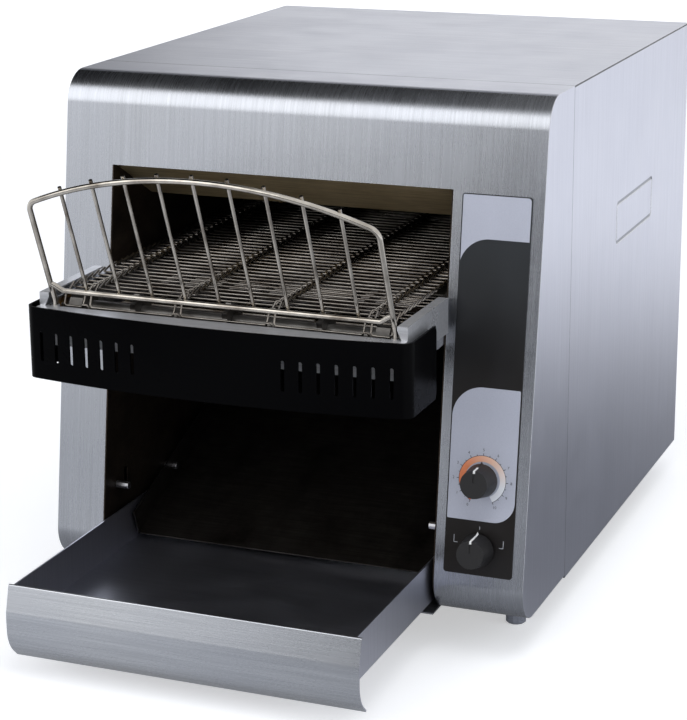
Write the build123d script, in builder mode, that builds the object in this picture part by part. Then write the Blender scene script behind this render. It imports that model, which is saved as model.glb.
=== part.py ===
from build123d import *
import os
from math import asin, atan2, cos, degrees, hypot, pi, radians, sin, tan

# Conveyor toaster: bread rides a wire belt into a heated tunnel at the front, tips over the belt's
# rear end onto a slide and comes back out at the bottom, into a tray.
# Millimetres. X to the operator's right, Y to the back, Z up. The origin is on the counter, below the
# middle of the overall width and depth.

# ---- outer casing ----
body_width = 368.0
panel_height = 368.5
panel_depth = 346.0
bezel_depth = 109.5
face_lean = 7.95
roll_radius = 25.0
edge_reveal = 2.0
rear_recess = 4.0
skin = 1.2
liner = 1.0
flange = 12.0
rest_gap = 0.3
# small round things are drawn with this many flats
flats = 12

# ---- feet ----
foot_height = 25.5
foot_radius = 7.7
foot_inset = 27.0
front_foot_setback = -33.0
rear_foot_margin = 46.0
foot_travel = 10.0
foot_base = 13.6
sleeve_radius = 8.4
stem_radius = 4.0
stem_clearance = 0.1
nut_height = 5.0

# ---- the lane: everything the bread passes through, to the left of the controls ----
lane_offset = -13.7
control_column = 104.5
opening_width = body_width - control_column
opening_height = 303.5
lane_width = opening_width - 2.0
liner_height = 330.0

# ---- wire belt ----
belt_width = lane_width - 14.5
belt_pitch = 9.1
belt_wire = 1.6
run_pitches = 43
wheel_teeth = 10
weave_lift = 13.0
hook_gap = 0.3
belt_height = 232.5
belt_reach = 150.0
shaft_radius = 6.0
running_clearance = 0.05
sprocket_columns = (-70.0, 0.0, 70.0)
sprocket_thickness = 4.0
drum_column = belt_width / 2 - 8.5
drum_width = 10.0

# ---- conveyor frame in front of the face ----
arm_thickness = 1.5
arm_top = 229.0
arm_bottom = 196.5
arm_flange = 5.0
arm_front_reach = 165.0
trough_reach = 173.0
trough_height = 223.5
skirt_top = 233.0
skirt_bottom = 208.0
skirt_reach = 92.0
ear_width = 7.4
hem = 8.0

# ---- burn guard ----
guard_width = lane_width + 24.5
guard_height = 51.5
guard_top = 224.8
guard_thickness = 1.5
guard_bow = 12.0
guard_reach = 195.0
guard_wing = 50.0
guard_corner = 8.0
guard_slots = 7
guard_slot_pitch = 12.4
guard_slot_margin = 12.8
guard_slot_width = 2.8
guard_slot_height = 21.5

# ---- wire rack ----
rack_lean = 22.0
rack_half_width = lane_width / 2 - 3.75
rack_leg = 82.0
rack_arch = 27.5
rack_rod = 2.0
spoke_rod = 1.35
spokes = 9
spoke_pitch = 2 * (rack_half_width - 0.5) / (spokes + 1)
cross_rod_height = 9.7
socket_depth = 16.0
socket_wall = 1.1
socket_clearance = 0.1

# ---- heating ----
element_radius = 5.0
element_count = 3
element_pitch = 70.0
first_element = 40.0
lower_element_height = 217.0
upper_reflector_height = 298.0
upper_element_height = upper_reflector_height - 10.0
reflector_lip = 4.5
baffle_drop = 26.5
insulation = 24.0

# ---- slide and tray ----
slide_angle = 20.0
slide_foot_height = 15.5
slide_foot_reach = 62.0
slide_rear = 303.0
slide_bend = 80.0
slide_width = lane_width - 11.9
slide_flange = 20.0
tray_reach = 140.5
tray_width = lane_width - 5.5
tray_height = 31.5
tray_floor = 10.0
tray_plate_width = opening_width - 0.5
tray_rear_reach = 110.0
pin_radius = 3.0
pin_length = 10.5
runner_column = tray_width / 2 - 28.0
runner_width = 12.0

# ---- drive ----
chain_plate = 1.2
chain_pitch = 9.525
chain_links = 46
motor_teeth = 10
shaft_teeth = 15
chain_roller = 2.5
chain_stand_off = 14.0
gearbox_thickness = 32.0
motor_length = 46.0
motor_shaft_radius = 5.0
bush_radius = 8.5

# ---- cooling ----
fan_size = 119.0
fan_depth = 32.0
fan_bore = 57.0
fan_x = -60.0
blades = 7
fan_hole = 52.4

# ---- controls ----
overlay_width = 50.5
overlay_bottom = 37.0
overlay_top = 302.0
overlay_thickness = 0.6
controls_x = body_width / 2 - 33.8
speed_height = 105.0
power_height = 55.6
knob_radius = 12.0
knob_height = 17.0
spindle_radius = 3.0
switch_radius = 11.0
switch_depth = 14.0
knob_taper = 7.0
nose = 1.8

# ---- cord inlet ----
gland_radius = 8.0
cord_radius = 5.5
screw_radius = 1.6

# ---- places worked out from those sizes ----
base_z = foot_height
top_z = base_z + panel_height
overall_depth = panel_depth + bezel_depth + tray_reach
seam_y = -overall_depth / 2 + tray_reach + bezel_depth
rear_y = seam_y + panel_depth
rear_face_y = rear_y - rear_recess
face_foot_y = seam_y - bezel_depth
bezel_z = base_z + edge_reveal
pan_z = bezel_z + skin
pan_top = pan_z + skin
lean = radians(face_lean)
lane_left = lane_offset - lane_width / 2
lane_right = lane_offset + lane_width / 2
wheel_radius = belt_pitch / (2 * sin(pi / wheel_teeth))
wheel_z = base_z + belt_height - wheel_radius
idler_y = seam_y - belt_reach
drive_y = idler_y + run_pitches * belt_pitch
# the square wire's corner is this far from its centre, and the hooks stand this far off the wheel
wire_corner = belt_wire / 2 * 2**0.5
hook_tip = belt_pitch + belt_wire * 1.5 + hook_gap
trough_y = seam_y - trough_reach
guard_inner = guard_width / 2 - guard_thickness
inner_skin = skin / cos(lean)
opening_top = base_z + opening_height

# the motor sits straight below the drive shaft, as far down as the chain's whole links ask
motor_wheel = chain_pitch / (2 * sin(pi / motor_teeth))
shaft_wheel = chain_pitch / (2 * sin(pi / shaft_teeth))
spread = 0.0
for _ in range(20):
    round_wheels = (motor_teeth + shaft_teeth) / 2 + (shaft_teeth - motor_teeth) * spread / pi
    span = (chain_links - round_wheels) / 2
    centres = hypot(span * chain_pitch, shaft_wheel - motor_wheel)
    spread = asin((shaft_wheel - motor_wheel) / centres)
motor_y = drive_y
motor_z = wheel_z - centres

foot_x = body_width / 2 - foot_inset
front_foot_y = seam_y + front_foot_setback
rear_foot_y = rear_y - rear_foot_margin
foot_places = {
    "front_left": (-foot_x, front_foot_y),
    "front_right": (foot_x, front_foot_y),
    "rear_left": (-foot_x, rear_foot_y),
    "rear_right": (foot_x, rear_foot_y),
}

# screws: up both edges of the rear panel, along its top, and into the fan's corners
fan_z = pan_z + flange + fan_size / 2 + 2
screw_pitch = (panel_height - 98.5) / 3
screw_heights = [base_z + 60 + i * screw_pitch for i in range(4)]
edge_screws = [(sign * (body_width / 2 - 7), z) for sign in (-1, 1) for z in screw_heights]
top_screws = [(x, top_z - 7.5) for x in (-120, 0, 120)]
fan_screws = [(fan_x + sx * fan_hole, fan_z + sz * fan_hole) for sx in (-1, 1) for sz in (-1, 1)]


def face_y(z):
    """The front face's place in Y at height z."""
    return face_foot_y + (z - base_z) * tan(lean)


def up_face(height):
    """Distance up the leaning face to a height above the casing's bottom edge."""
    return height / cos(lean)


face = Plane(origin=(0, face_foot_y, base_z), x_dir=(1, 0, 0), z_dir=(0, -cos(lean), sin(lean)))
pieces = {}

# ================= casing =================

# front bezel: rolled over at the top and bottom, one opening that runs out through the bottom roll
with BuildPart() as front_bezel:
    with BuildSketch(Plane.YZ.offset(-body_width / 2)):
        with BuildLine():
            Polyline(
                (seam_y, bezel_z),
                (face_y(bezel_z), bezel_z),
                (face_y(top_z), top_z),
                (seam_y, top_z),
                close=True,
            )
        make_face()
        fillet(vertices().sort_by(Axis.X)[:2], roll_radius)
    extrude(amount=body_width)
    offset(amount=-skin, openings=faces().sort_by(Axis.Y)[-1])
    with Locations((lane_offset, seam_y - flange, opening_top)):
        Box(
            opening_width,
            bezel_depth + flange,
            opening_height,
            align=(Align.CENTER, Align.MAX, Align.MAX),
            mode=Mode.SUBTRACT,
        )
    with BuildSketch(face.offset(overlay_thickness)):
        with Locations((controls_x, up_face(speed_height)), (controls_x, up_face(power_height))):
            RegularPolygon(spindle_radius + 2, flats)
    extrude(amount=-2 * skin - overlay_thickness, mode=Mode.SUBTRACT)
    with Locations((-foot_x, front_foot_y, bezel_z), (foot_x, front_foot_y, bezel_z)):
        Box(2 * stem_radius + 1, 2 * stem_radius + 1, 3 * skin, mode=Mode.SUBTRACT)
pieces["front_bezel"] = front_bezel

# top cover: a sheet over both side panels, its flanges turned down inside them
with BuildPart() as top_cover:
    with Locations((0, seam_y, top_z)):
        Box(body_width, panel_depth, skin, align=(Align.CENTER, Align.MIN, Align.MAX))
    with Locations((0, seam_y, top_z - skin)):
        Box(
            body_width - 2 * skin,
            panel_depth - rear_recess - skin,
            flange,
            align=(Align.CENTER, Align.MIN, Align.MAX),
        )
        Box(
            body_width - 4 * skin,
            panel_depth - rear_recess - 2 * skin,
            flange,
            align=(Align.CENTER, Align.MIN, Align.MAX),
            mode=Mode.SUBTRACT,
        )
pieces["top_cover"] = top_cover

# side panels: a plate with flanges turned in at the bottom and the back, set in from its edges
for side, sign in (("left", -1), ("right", 1)):
    inward = Align.MIN if sign < 0 else Align.MAX
    with BuildPart() as side_panel:
        with Locations((sign * body_width / 2, seam_y, base_z)):
            Box(skin, panel_depth, panel_height - skin, align=(inward, Align.MIN, Align.MIN))
        with Locations((sign * body_width / 2, seam_y, bezel_z)):
            Box(flange, panel_depth - rear_recess - skin, skin, align=(inward, Align.MIN, Align.MIN))
        with Locations((sign * body_width / 2, rear_face_y - skin, bezel_z)):
            Box(
                flange,
                skin,
                panel_height - edge_reveal - 2 * flange,
                align=(inward, Align.MAX, Align.MIN),
            )
        if side == "right":
            # a bare frame pressed into the panel
            with BuildSketch(Plane.YZ.offset(body_width / 2)):
                with Locations((seam_y + panel_depth - 168, base_z + panel_height - 125)):
                    Rectangle(110, 33)
                    chamfer(vertices(), 3)
                    Rectangle(105, 28, mode=Mode.SUBTRACT)
            extrude(amount=-skin / 2, mode=Mode.SUBTRACT)
    pieces[side + "_panel"] = side_panel

# base pan: the floor of the casing, with turned-up edges and a tongue that runs out under the tray
pan_front = face_y(bezel_z) + roll_radius * tan((pi / 2 + lean) / 2) + skin
pan_length = rear_face_y - 2 * skin - pan_front
tongue_front = face_y(bezel_z) + 2 * skin
with BuildPart() as base_pan:
    with Locations((0, pan_front, pan_z)):
        Box(body_width - 2 * skin, pan_length, flange, align=(Align.CENTER, Align.MIN, Align.MIN))
    offset(amount=-skin, openings=[faces().sort_by(Axis.Z)[-1], faces().sort_by(Axis.Y)[0]])
    with Locations((lane_offset, tongue_front, pan_z)):
        Box(
            opening_width,
            pan_front - tongue_front,
            skin,
            align=(Align.CENTER, Align.MIN, Align.MIN),
        )
    with Locations((lane_offset, seam_y + 190, pan_z)):
        with GridLocations(60, 20, 3, 5):
            Box(44, 6, 3 * skin, mode=Mode.SUBTRACT)
    with Locations(*[(x, y, pan_z) for x, y in foot_places.values()]):
        Box(2 * stem_radius + 1, 2 * stem_radius + 1, 3 * skin, mode=Mode.SUBTRACT)
pieces["base_pan"] = base_pan

# rear panel: screwed on from behind over the side panels' flanges
gland_x = body_width / 2 - 46
gland_z = base_z + 44
grille_slots = 9
grille_pitch = 11.0
with BuildPart() as rear_panel:
    with Locations((0, rear_face_y, bezel_z)):
        Box(
            body_width - 2 * skin,
            skin,
            panel_height - edge_reveal - skin,
            align=(Align.CENTER, Align.MAX, Align.MIN),
        )
    with BuildSketch(Plane.XZ.offset(-rear_face_y)):
        for row in range(grille_slots):
            rise = (row - (grille_slots - 1) / 2) * grille_pitch
            with Locations((fan_x, fan_z + rise)):
                Rectangle(2 * ((fan_bore - 3) ** 2 - rise**2) ** 0.5, grille_pitch / 2)
        with Locations((0, top_z - 60)):
            with GridLocations(30, 30, 9, 2):
                Rectangle(6, 22)
        with Locations((gland_x, gland_z)):
            RegularPolygon(gland_radius + rest_gap, flats)
    extrude(amount=2 * skin, both=True, mode=Mode.SUBTRACT)
pieces["rear_panel"] = rear_panel

# entry baffle: hangs behind the top of the opening and slopes back down to the tunnel's mouth
baffle_rear = seam_y - 8
baffle_lip = base_z + upper_reflector_height - baffle_drop
with BuildPart() as entry_baffle:
    with BuildSketch(Plane.YZ.offset(lane_left)):
        with BuildLine():
            Polyline(
                (face_y(opening_top + flange) + inner_skin, opening_top + flange),
                (face_y(opening_top + liner) + inner_skin, opening_top + liner),
                (baffle_rear, baffle_lip),
                (baffle_rear, base_z + upper_reflector_height),
            )
            offset(amount=liner, side=Side.LEFT)
        make_face()
    extrude(amount=lane_width)
pieces["entry_baffle"] = entry_baffle

# side walls of the lane: they line the opening and carry the shafts and the heating tubes
liner_top = base_z + liner_height
liner_rear = seam_y + slide_rear + 2 * liner
liner_lip = opening_top - rest_gap
element_places = [seam_y + first_element + i * element_pitch for i in range(element_count)]
upper_element_z = base_z + upper_element_height
lower_element_z = base_z + lower_element_height
for side, sign, wall_x in (("left", -1, lane_left - liner), ("right", 1, lane_right)):
    with BuildPart() as side_liner:
        with BuildSketch(Plane.YZ.offset(wall_x)):
            with BuildLine():
                Polyline(
                    (face_y(pan_top), pan_top),
                    (face_y(liner_lip), liner_lip),
                    (face_y(liner_lip) + inner_skin, liner_lip),
                    (face_y(liner_top) + inner_skin, liner_top),
                    (liner_rear, liner_top),
                    (liner_rear, pan_top),
                    close=True,
                )
            make_face()
            fillet(vertices().sort_by(Axis.X)[0], roll_radius)
            heights = (upper_element_z, lower_element_z)
            with Locations(*[(y, z) for y in element_places for z in heights]):
                RegularPolygon(element_radius + rest_gap, flats, mode=Mode.SUBTRACT)
            with Locations((drive_y, wheel_z)):
                RegularPolygon(bush_radius + running_clearance, flats, mode=Mode.SUBTRACT)
            with Locations((seam_y - 67, base_z + 64)):
                Rectangle(5, 11, mode=Mode.SUBTRACT)
            if side == "right":
                with Locations((motor_y, motor_z)):
                    RegularPolygon(motor_shaft_radius + 1, flats, mode=Mode.SUBTRACT)
        extrude(amount=liner)
        # a flange turned outwards against the back of the bezel
        with BuildSketch(face.offset(-skin)):
            edge_x = lane_offset + sign * (lane_width / 2 + liner)
            with Locations((edge_x + sign * flange / 2, up_face(opening_height / 2 + flange))):
                Rectangle(flange, opening_height - 5 * flange)
        extrude(amount=-liner)
    pieces[side + "_liner"] = side_liner

# reflectors over and under the upper run of the belt
with BuildPart() as upper_reflector:
    with Locations((lane_offset, baffle_rear, base_z + upper_reflector_height)):
        Box(
            lane_width,
            seam_y + slide_rear - baffle_rear,
            flange,
            align=(Align.CENTER, Align.MIN, Align.MIN),
        )
    ends = faces().sort_by(Axis.Y)
    offset(amount=-liner, openings=[faces().sort_by(Axis.Z)[-1], ends[0], ends[-1]])
pieces["upper_reflector"] = upper_reflector

arm_inside = lane_width - 2 * arm_thickness
with BuildPart() as lower_reflector:
    with Locations((lane_offset, element_places[0] - element_pitch / 2, lower_element_z - 10)):
        Box(
            arm_inside,
            element_count * element_pitch,
            reflector_lip,
            align=(Align.CENTER, Align.MIN, Align.MIN),
        )
    ends = faces().sort_by(Axis.Y)
    offset(amount=-liner, openings=[faces().sort_by(Axis.Z)[-1], ends[0], ends[-1]])
pieces["lower_reflector"] = lower_reflector

with BuildPart() as insulation_pad:
    with Locations((lane_offset, baffle_rear + flange, base_z + upper_reflector_height + liner)):
        Box(
            lane_width - 4 * liner,
            slide_rear - flange,
            insulation,
            align=(Align.CENTER, Align.MIN, Align.MIN),
        )
pieces["insulation_pad"] = insulation_pad

# heating tubes run across the lane, through both walls, into end blocks outside them
tube_end = lane_width / 2 + liner + 6
end_block = 12.0
for name, z in (("upper_elements", upper_element_z), ("lower_elements", lower_element_z)):
    with BuildPart() as elements:
        with BuildSketch(Plane.YZ.offset(lane_offset - tube_end)):
            with Locations(*[(y, z) for y in element_places]):
                RegularPolygon(element_radius, flats)
        extrude(amount=2 * tube_end)
    pieces[name] = elements
with BuildPart() as element_ends:
    with Locations(
        *[
            (lane_offset + sign * (tube_end + end_block / 2), y, z)
            for sign in (-1, 1)
            for y in element_places
            for z in (upper_element_z, lower_element_z)
        ]
    ):
        Box(end_block, 14, 14)
pieces["element_ends"] = element_ends

# ================= conveyor frame =================

# arms: channels that carry the belt's shafts, out through the opening and back through the tunnel
arm_front = seam_y - arm_front_reach
arm_rear = drive_y + bush_radius + 6
arm_z = base_z + arm_bottom
for side, sign in (("left", -1), ("right", 1)):
    with BuildPart() as arm:
        with Locations((lane_offset + sign * lane_width / 2, arm_front, arm_z)):
            Box(
                arm_flange,
                arm_rear - arm_front,
                arm_top - arm_bottom,
                align=(Align.MIN if sign < 0 else Align.MAX, Align.MIN, Align.MIN),
            )
        ends = faces().sort_by(Axis.Y)
        inner = faces().sort_by(Axis.X)[-1 if sign < 0 else 0]
        offset(amount=-arm_thickness, openings=[inner, ends[0], ends[-1]])
        with BuildSketch(Plane.YZ.offset(lane_offset)):
            with Locations((idler_y, wheel_z), (drive_y, wheel_z)):
                RegularPolygon(bush_radius + running_clearance, flats)
            with Locations(*[(y, lower_element_z) for y in element_places]):
                RegularPolygon(element_radius + rest_gap, flats)
        extrude(amount=sign * lane_width, mode=Mode.SUBTRACT)
    pieces[side + "_arm"] = arm

# belt supports: strips on edge under the upper run, on bars from arm to arm
strip_top = base_z + belt_height - wire_corner - rest_gap
strip_height = 5.0
bar_height = 3.3
strip_front = idler_y + wheel_radius + 10
strip_length = drive_y - idler_y - 2 * (wheel_radius + 10)
bar_pitch = 70.0
rear_bar_y = drive_y - 26.3
bars = [arm_front + 65] + [rear_bar_y - i * bar_pitch for i in (3, 2, 1, 0)]
with BuildPart() as belt_supports:
    with Locations(*[(lane_offset + x, strip_front, strip_top) for x in (-84, -28, 28, 84)]):
        Box(1.5, strip_length, strip_height, align=(Align.CENTER, Align.MIN, Align.MAX))
    with Locations(*[(lane_offset, y, strip_top - strip_height) for y in bars]):
        Box(arm_inside, 3, bar_height, align=(Align.CENTER, Align.CENTER, Align.MAX))
pieces["belt_supports"] = belt_supports

# bushes: flanged on the inside of each arm, with a running fit on the shaft
for name, y, outside in (
    ("idler_bushes", idler_y, lane_width / 2),
    ("drive_bushes", drive_y, lane_width / 2 + liner + 1.5),
):
    with BuildPart() as bushes:
        for sign in (-1, 1):
            with BuildSketch(Plane.YZ.offset(lane_offset + sign * (lane_width / 2 - arm_thickness))):
                with Locations((y, wheel_z)):
                    RegularPolygon(bush_radius, flats)
            extrude(amount=sign * (outside - lane_width / 2 + arm_thickness))
            with BuildSketch(Plane.YZ.offset(lane_offset + sign * (lane_width / 2 - arm_thickness))):
                with Locations((y, wheel_z)):
                    RegularPolygon(bush_radius + 1, flats)
            extrude(amount=-sign * 1.5)
        with BuildSketch(Plane.YZ.offset(lane_left - 2 * flange)):
            with Locations((y, wheel_z)):
                RegularPolygon(shaft_radius + running_clearance, flats, major_radius=False)
        extrude(amount=lane_width + 4 * flange, mode=Mode.SUBTRACT)
    pieces[name] = bushes

# ================= trough, guard and rack =================

guard_radius = ((guard_width / 2) ** 2 + guard_bow**2) / (2 * guard_bow)
guard_centre_y = seam_y - guard_reach + guard_radius
guard_z = base_z + guard_top - guard_height
guard_back = guard_centre_y - (guard_radius**2 - (guard_width / 2) ** 2) ** 0.5 + guard_wing
skirt_outside = lane_width / 2 + 6.25
trough_z = base_z + trough_height


def bow_y(half_width, inset):
    """Where the bowed front, set in by inset, stands at half_width from the lane's middle."""
    return guard_centre_y - ((guard_radius - inset) ** 2 - half_width**2) ** 0.5


def bowed_outline(half_width, inset, back):
    """A closed outline in plan: the bowed front and two straight sides, closed across the back."""
    corner = bow_y(half_width, inset)
    middle = guard_centre_y - guard_radius + inset
    Polyline(
        (lane_offset - half_width, corner),
        (lane_offset - half_width, back),
        (lane_offset + half_width, back),
        (lane_offset + half_width, corner),
    )
    ThreePointArc(
        (lane_offset - half_width, corner),
        (lane_offset, middle),
        (lane_offset + half_width, corner),
    )


# front trough: a folded box across the arms' ends, a bowed flange in front of it, and at each side an
# ear and a skirt that runs back along the arm
trough_inset = guard_thickness + 0.1
with BuildPart() as front_trough:
    with Locations((lane_offset, trough_y, arm_z - skin)):
        Box(
            lane_width + 2 * skin,
            trough_reach - 135,
            trough_height - arm_bottom + skin,
            align=(Align.CENTER, Align.MIN, Align.MIN),
        )
    offset(amount=-skin, openings=[faces().sort_by(Axis.Z)[-1], faces().sort_by(Axis.Y)[-1]])
    with BuildSketch(Plane.XY.offset(trough_z)):
        with BuildLine():
            bowed_outline(skirt_outside, trough_inset, trough_y + skin)
        make_face()
        fillet(vertices().group_by(Axis.Y)[0], 3)
    extrude(amount=-skin)
    with BuildSketch(Plane.XY.offset(trough_z - skin)):
        with BuildLine():
            bowed_outline(skirt_outside, trough_inset, trough_y)
        make_face()
        fillet(vertices().group_by(Axis.Y)[0], 3)
        with BuildLine():
            bowed_outline(skirt_outside, trough_inset + skin, trough_y + 1)
        make_face(mode=Mode.SUBTRACT)
    extrude(amount=-hem)
    for sign in (-1, 1):
        ear_inside = lane_offset + sign * (skirt_outside - ear_width)
        ear_outside = lane_offset + sign * skirt_outside
        with BuildSketch(Plane.XZ.offset(-trough_y)):
            with BuildLine():
                Polyline(
                    (ear_inside + sign * ear_width / 2, trough_z - skin),
                    (ear_inside, base_z + skirt_top - 3),
                    (ear_inside, base_z + skirt_top),
                    (ear_outside, base_z + skirt_top),
                    (ear_outside, trough_z - skin),
                    close=True,
                )
            make_face()
        extrude(amount=-skin)
        with Locations((ear_outside, trough_y, base_z + skirt_top)):
            Box(
                ear_width,
                trough_reach - skirt_reach,
                skin,
                align=(Align.MIN if sign < 0 else Align.MAX, Align.MIN, Align.MAX),
            )
            Box(
                skin,
                trough_reach - skirt_reach,
                skirt_top - skirt_bottom,
                align=(Align.MIN if sign < 0 else Align.MAX, Align.MIN, Align.MAX),
            )
        # socket for one leg of the wire rack, against the trough's front wall
        socket_y = trough_y + skin + rack_rod + socket_clearance + socket_wall
        with BuildSketch(Plane.XY.offset(trough_z)):
            with Locations((lane_offset + sign * rack_half_width, socket_y)):
                RegularPolygon(rack_rod + socket_clearance + socket_wall, 8, rotation=22.5)
                with Locations((0, -socket_wall)):
                    Rectangle(2 * rack_rod, 2 * (rack_rod + socket_clearance))
                RegularPolygon(rack_rod + socket_clearance, 8, major_radius=False, mode=Mode.SUBTRACT)
        extrude(amount=-socket_depth)
pieces["front_trough"] = front_trough

# burn guard: a bowed black sheet with wings, slotted at both ends
with BuildPart() as burn_guard:
    with BuildSketch(Plane.XY.offset(guard_z)):
        with BuildLine():
            bowed_outline(guard_width / 2, 0, guard_back)
        make_face()
        fillet(vertices().group_by(Axis.Y)[0], guard_corner)
    extrude(amount=guard_height)
    with BuildSketch(Plane.XY.offset(guard_z)):
        with BuildLine():
            bowed_outline(guard_inner, guard_thickness, guard_back + 1)
        make_face()
        fillet(vertices().group_by(Axis.Y)[0], guard_corner - guard_thickness)
    extrude(amount=guard_height, mode=Mode.SUBTRACT)
    chamfer(edges().filter_by(Axis.X).group_by(Axis.Y)[-1], guard_corner / 2)
    with BuildSketch(Plane.XZ.offset(guard_radius - guard_centre_y)):
        slot_z = guard_z + guard_height / 2 - 2
        slot_end = guard_width / 2 - guard_slot_margin
        slot_columns = [slot_end - i * guard_slot_pitch for i in range(guard_slots)]
        with Locations(*[(lane_offset + sign * x, slot_z) for sign in (-1, 1) for x in slot_columns]):
            Rectangle(guard_slot_width, guard_slot_height)
    extrude(amount=-guard_bow - 3 * guard_thickness, mode=Mode.SUBTRACT)
pieces["burn_guard"] = burn_guard

# spacers hold the guard's wings off the skirts
with BuildPart() as guard_spacers:
    for sign in (-1, 1):
        with BuildSketch(Plane.YZ.offset(lane_offset + sign * skirt_outside)):
            with Locations(*[(guard_back - back, base_z + skirt_bottom + 6) for back in (12, 34)]):
                RegularPolygon(4, 6)
        extrude(amount=sign * (guard_inner - skirt_outside))
pieces["guard_spacers"] = guard_spacers

# wire rack: an arched frame leaning out over the trough, with spokes welded behind it
rack_foot_z = trough_z + 2.5
rack_angle = radians(rack_lean)
rack_plane = Plane(
    origin=(lane_offset, socket_y, rack_foot_z),
    x_dir=(1, 0, 0),
    z_dir=(0, -cos(rack_angle), -sin(rack_angle)),
)
bend_radius = 9.0
bend_length = bend_radius * tan(rack_angle / 2)
arch_radius = (rack_half_width**2 + rack_arch**2) / (2 * rack_arch)
arch_centre = rack_leg + rack_arch - arch_radius
corner_x = rack_half_width - bend_radius
corner_rise = ((arch_radius - bend_radius) ** 2 - corner_x**2) ** 0.5
corner_angle = degrees(atan2(corner_rise, corner_x))
with BuildPart() as wire_rack:
    for sign in (-1, 1):
        leg_x = lane_offset + sign * rack_half_width
        with BuildLine(Plane.YZ.offset(leg_x)):
            Line((socket_y, trough_z - socket_depth), (socket_y, rack_foot_z - bend_length))
            JernArc((socket_y, rack_foot_z - bend_length), (0, 1), bend_radius, rack_lean)
        with BuildSketch(Plane.XY.offset(trough_z - socket_depth)):
            with Locations((leg_x, socket_y)):
                RegularPolygon(rack_rod, 6)
        sweep()
    with BuildLine(rack_plane):
        Line((-rack_half_width, bend_length), (-rack_half_width, arch_centre + corner_rise))
        CenterArc((-corner_x, arch_centre + corner_rise), bend_radius, 180, -corner_angle)
        CenterArc((0, arch_centre), arch_radius, 180 - corner_angle, 2 * corner_angle - 180)
        CenterArc((corner_x, arch_centre + corner_rise), bend_radius, corner_angle, -corner_angle)
        Line((rack_half_width, arch_centre + corner_rise), (rack_half_width, bend_length))
    with BuildSketch(
        Plane(
            origin=rack_plane.from_local_coords((-rack_half_width, bend_length, 0)),
            x_dir=(1, 0, 0),
            z_dir=rack_plane.y_dir,
        )
    ):
        RegularPolygon(rack_rod, 6)
    sweep()
    # cross rod, cranked up into the legs
    with BuildLine(rack_plane) as cross_rod:
        FilletPolyline(
            (-rack_half_width, cross_rod_height + 5.8),
            (-corner_x, cross_rod_height),
            (corner_x, cross_rod_height),
            (rack_half_width, cross_rod_height + 5.8),
            radius=4,
        )
    with BuildSketch(Plane(origin=cross_rod.line @ 0, z_dir=cross_rod.line % 0)):
        RegularPolygon(rack_rod, 6)
    sweep()
    for i in range(spokes):
        x = (i - (spokes - 1) / 2) * spoke_pitch
        reach = arch_centre + (arch_radius**2 - x**2) ** 0.5 + 3
        start = cross_rod_height - rack_rod
        behind = -(rack_rod + spoke_rod - rest_gap)
        with BuildSketch(
            Plane(
                origin=rack_plane.from_local_coords((x, start, behind)),
                x_dir=(1, 0, 0),
                z_dir=rack_plane.y_dir,
            )
        ):
            RegularPolygon(spoke_rod, 6)
        extrude(amount=reach - start)
pieces["wire_rack"] = wire_rack

# ================= wire belt and its wheels =================


def loop_pins(front, rear, front_teeth, rear_teeth, pitch, links):
    """Pins of a closed chain round two wheels, and the angle of a pocket on each wheel."""
    front_wheel = pitch / (2 * sin(pi / front_teeth))
    rear_wheel = pitch / (2 * sin(pi / rear_teeth))
    heading = atan2(rear[1] - front[1], rear[0] - front[0])
    distance = hypot(rear[0] - front[0], rear[1] - front[1])
    lean_in = asin((rear_wheel - front_wheel) / distance)
    out = heading + pi / 2 + lean_in
    back = heading - pi / 2 - lean_in
    run = (distance**2 - (rear_wheel - front_wheel) ** 2) ** 0.5 / pitch
    rear_end = run + rear_teeth * (pi + 2 * lean_in) / (2 * pi)

    def rim(centre, wheel, angle):
        return Vector(centre[0] + wheel * cos(angle), centre[1] + wheel * sin(angle))

    pins = []
    for i in range(links):
        if i < run:
            start = rim(front, front_wheel, out)
            pins.append(start + (rim(rear, rear_wheel, out) - start) * (i / run))
        elif i < rear_end:
            pins.append(rim(rear, rear_wheel, out - (i - run) * 2 * pi / rear_teeth))
        elif i < rear_end + run:
            start = rim(rear, rear_wheel, back)
            pins.append(start + (rim(front, front_wheel, back) - start) * ((i - rear_end) / run))
        else:
            pins.append(rim(front, front_wheel, back - (i - rear_end - run) * 2 * pi / front_teeth))
    return pins, out, out + run * 2 * pi / rear_teeth


def toothed(centre, teeth, root, tip, pocket_half_width, pocket_angle):
    """Outline of a toothed wheel with one of its pockets at pocket_angle."""
    half_pocket = asin(pocket_half_width / root)
    corners = []
    for i in range(teeth):
        pocket = pocket_angle + i * 2 * pi / teeth
        tooth = pocket + pi / teeth
        for radius, angle in (
            (root, pocket - half_pocket),
            (root, pocket + half_pocket),
            (tip, tooth),
        ):
            corners.append((centre[0] + radius * cos(angle), centre[1] + radius * sin(angle)))
    Polygon(*corners, align=None)


idler_place = (idler_y, wheel_z)
drive_place = (drive_y, wheel_z)
belt_links = 2 * run_pitches + wheel_teeth
belt_pins, idler_pocket, drive_pocket = loop_pins(
    idler_place, drive_place, wheel_teeth, wheel_teeth, belt_pitch, belt_links
)

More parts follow.
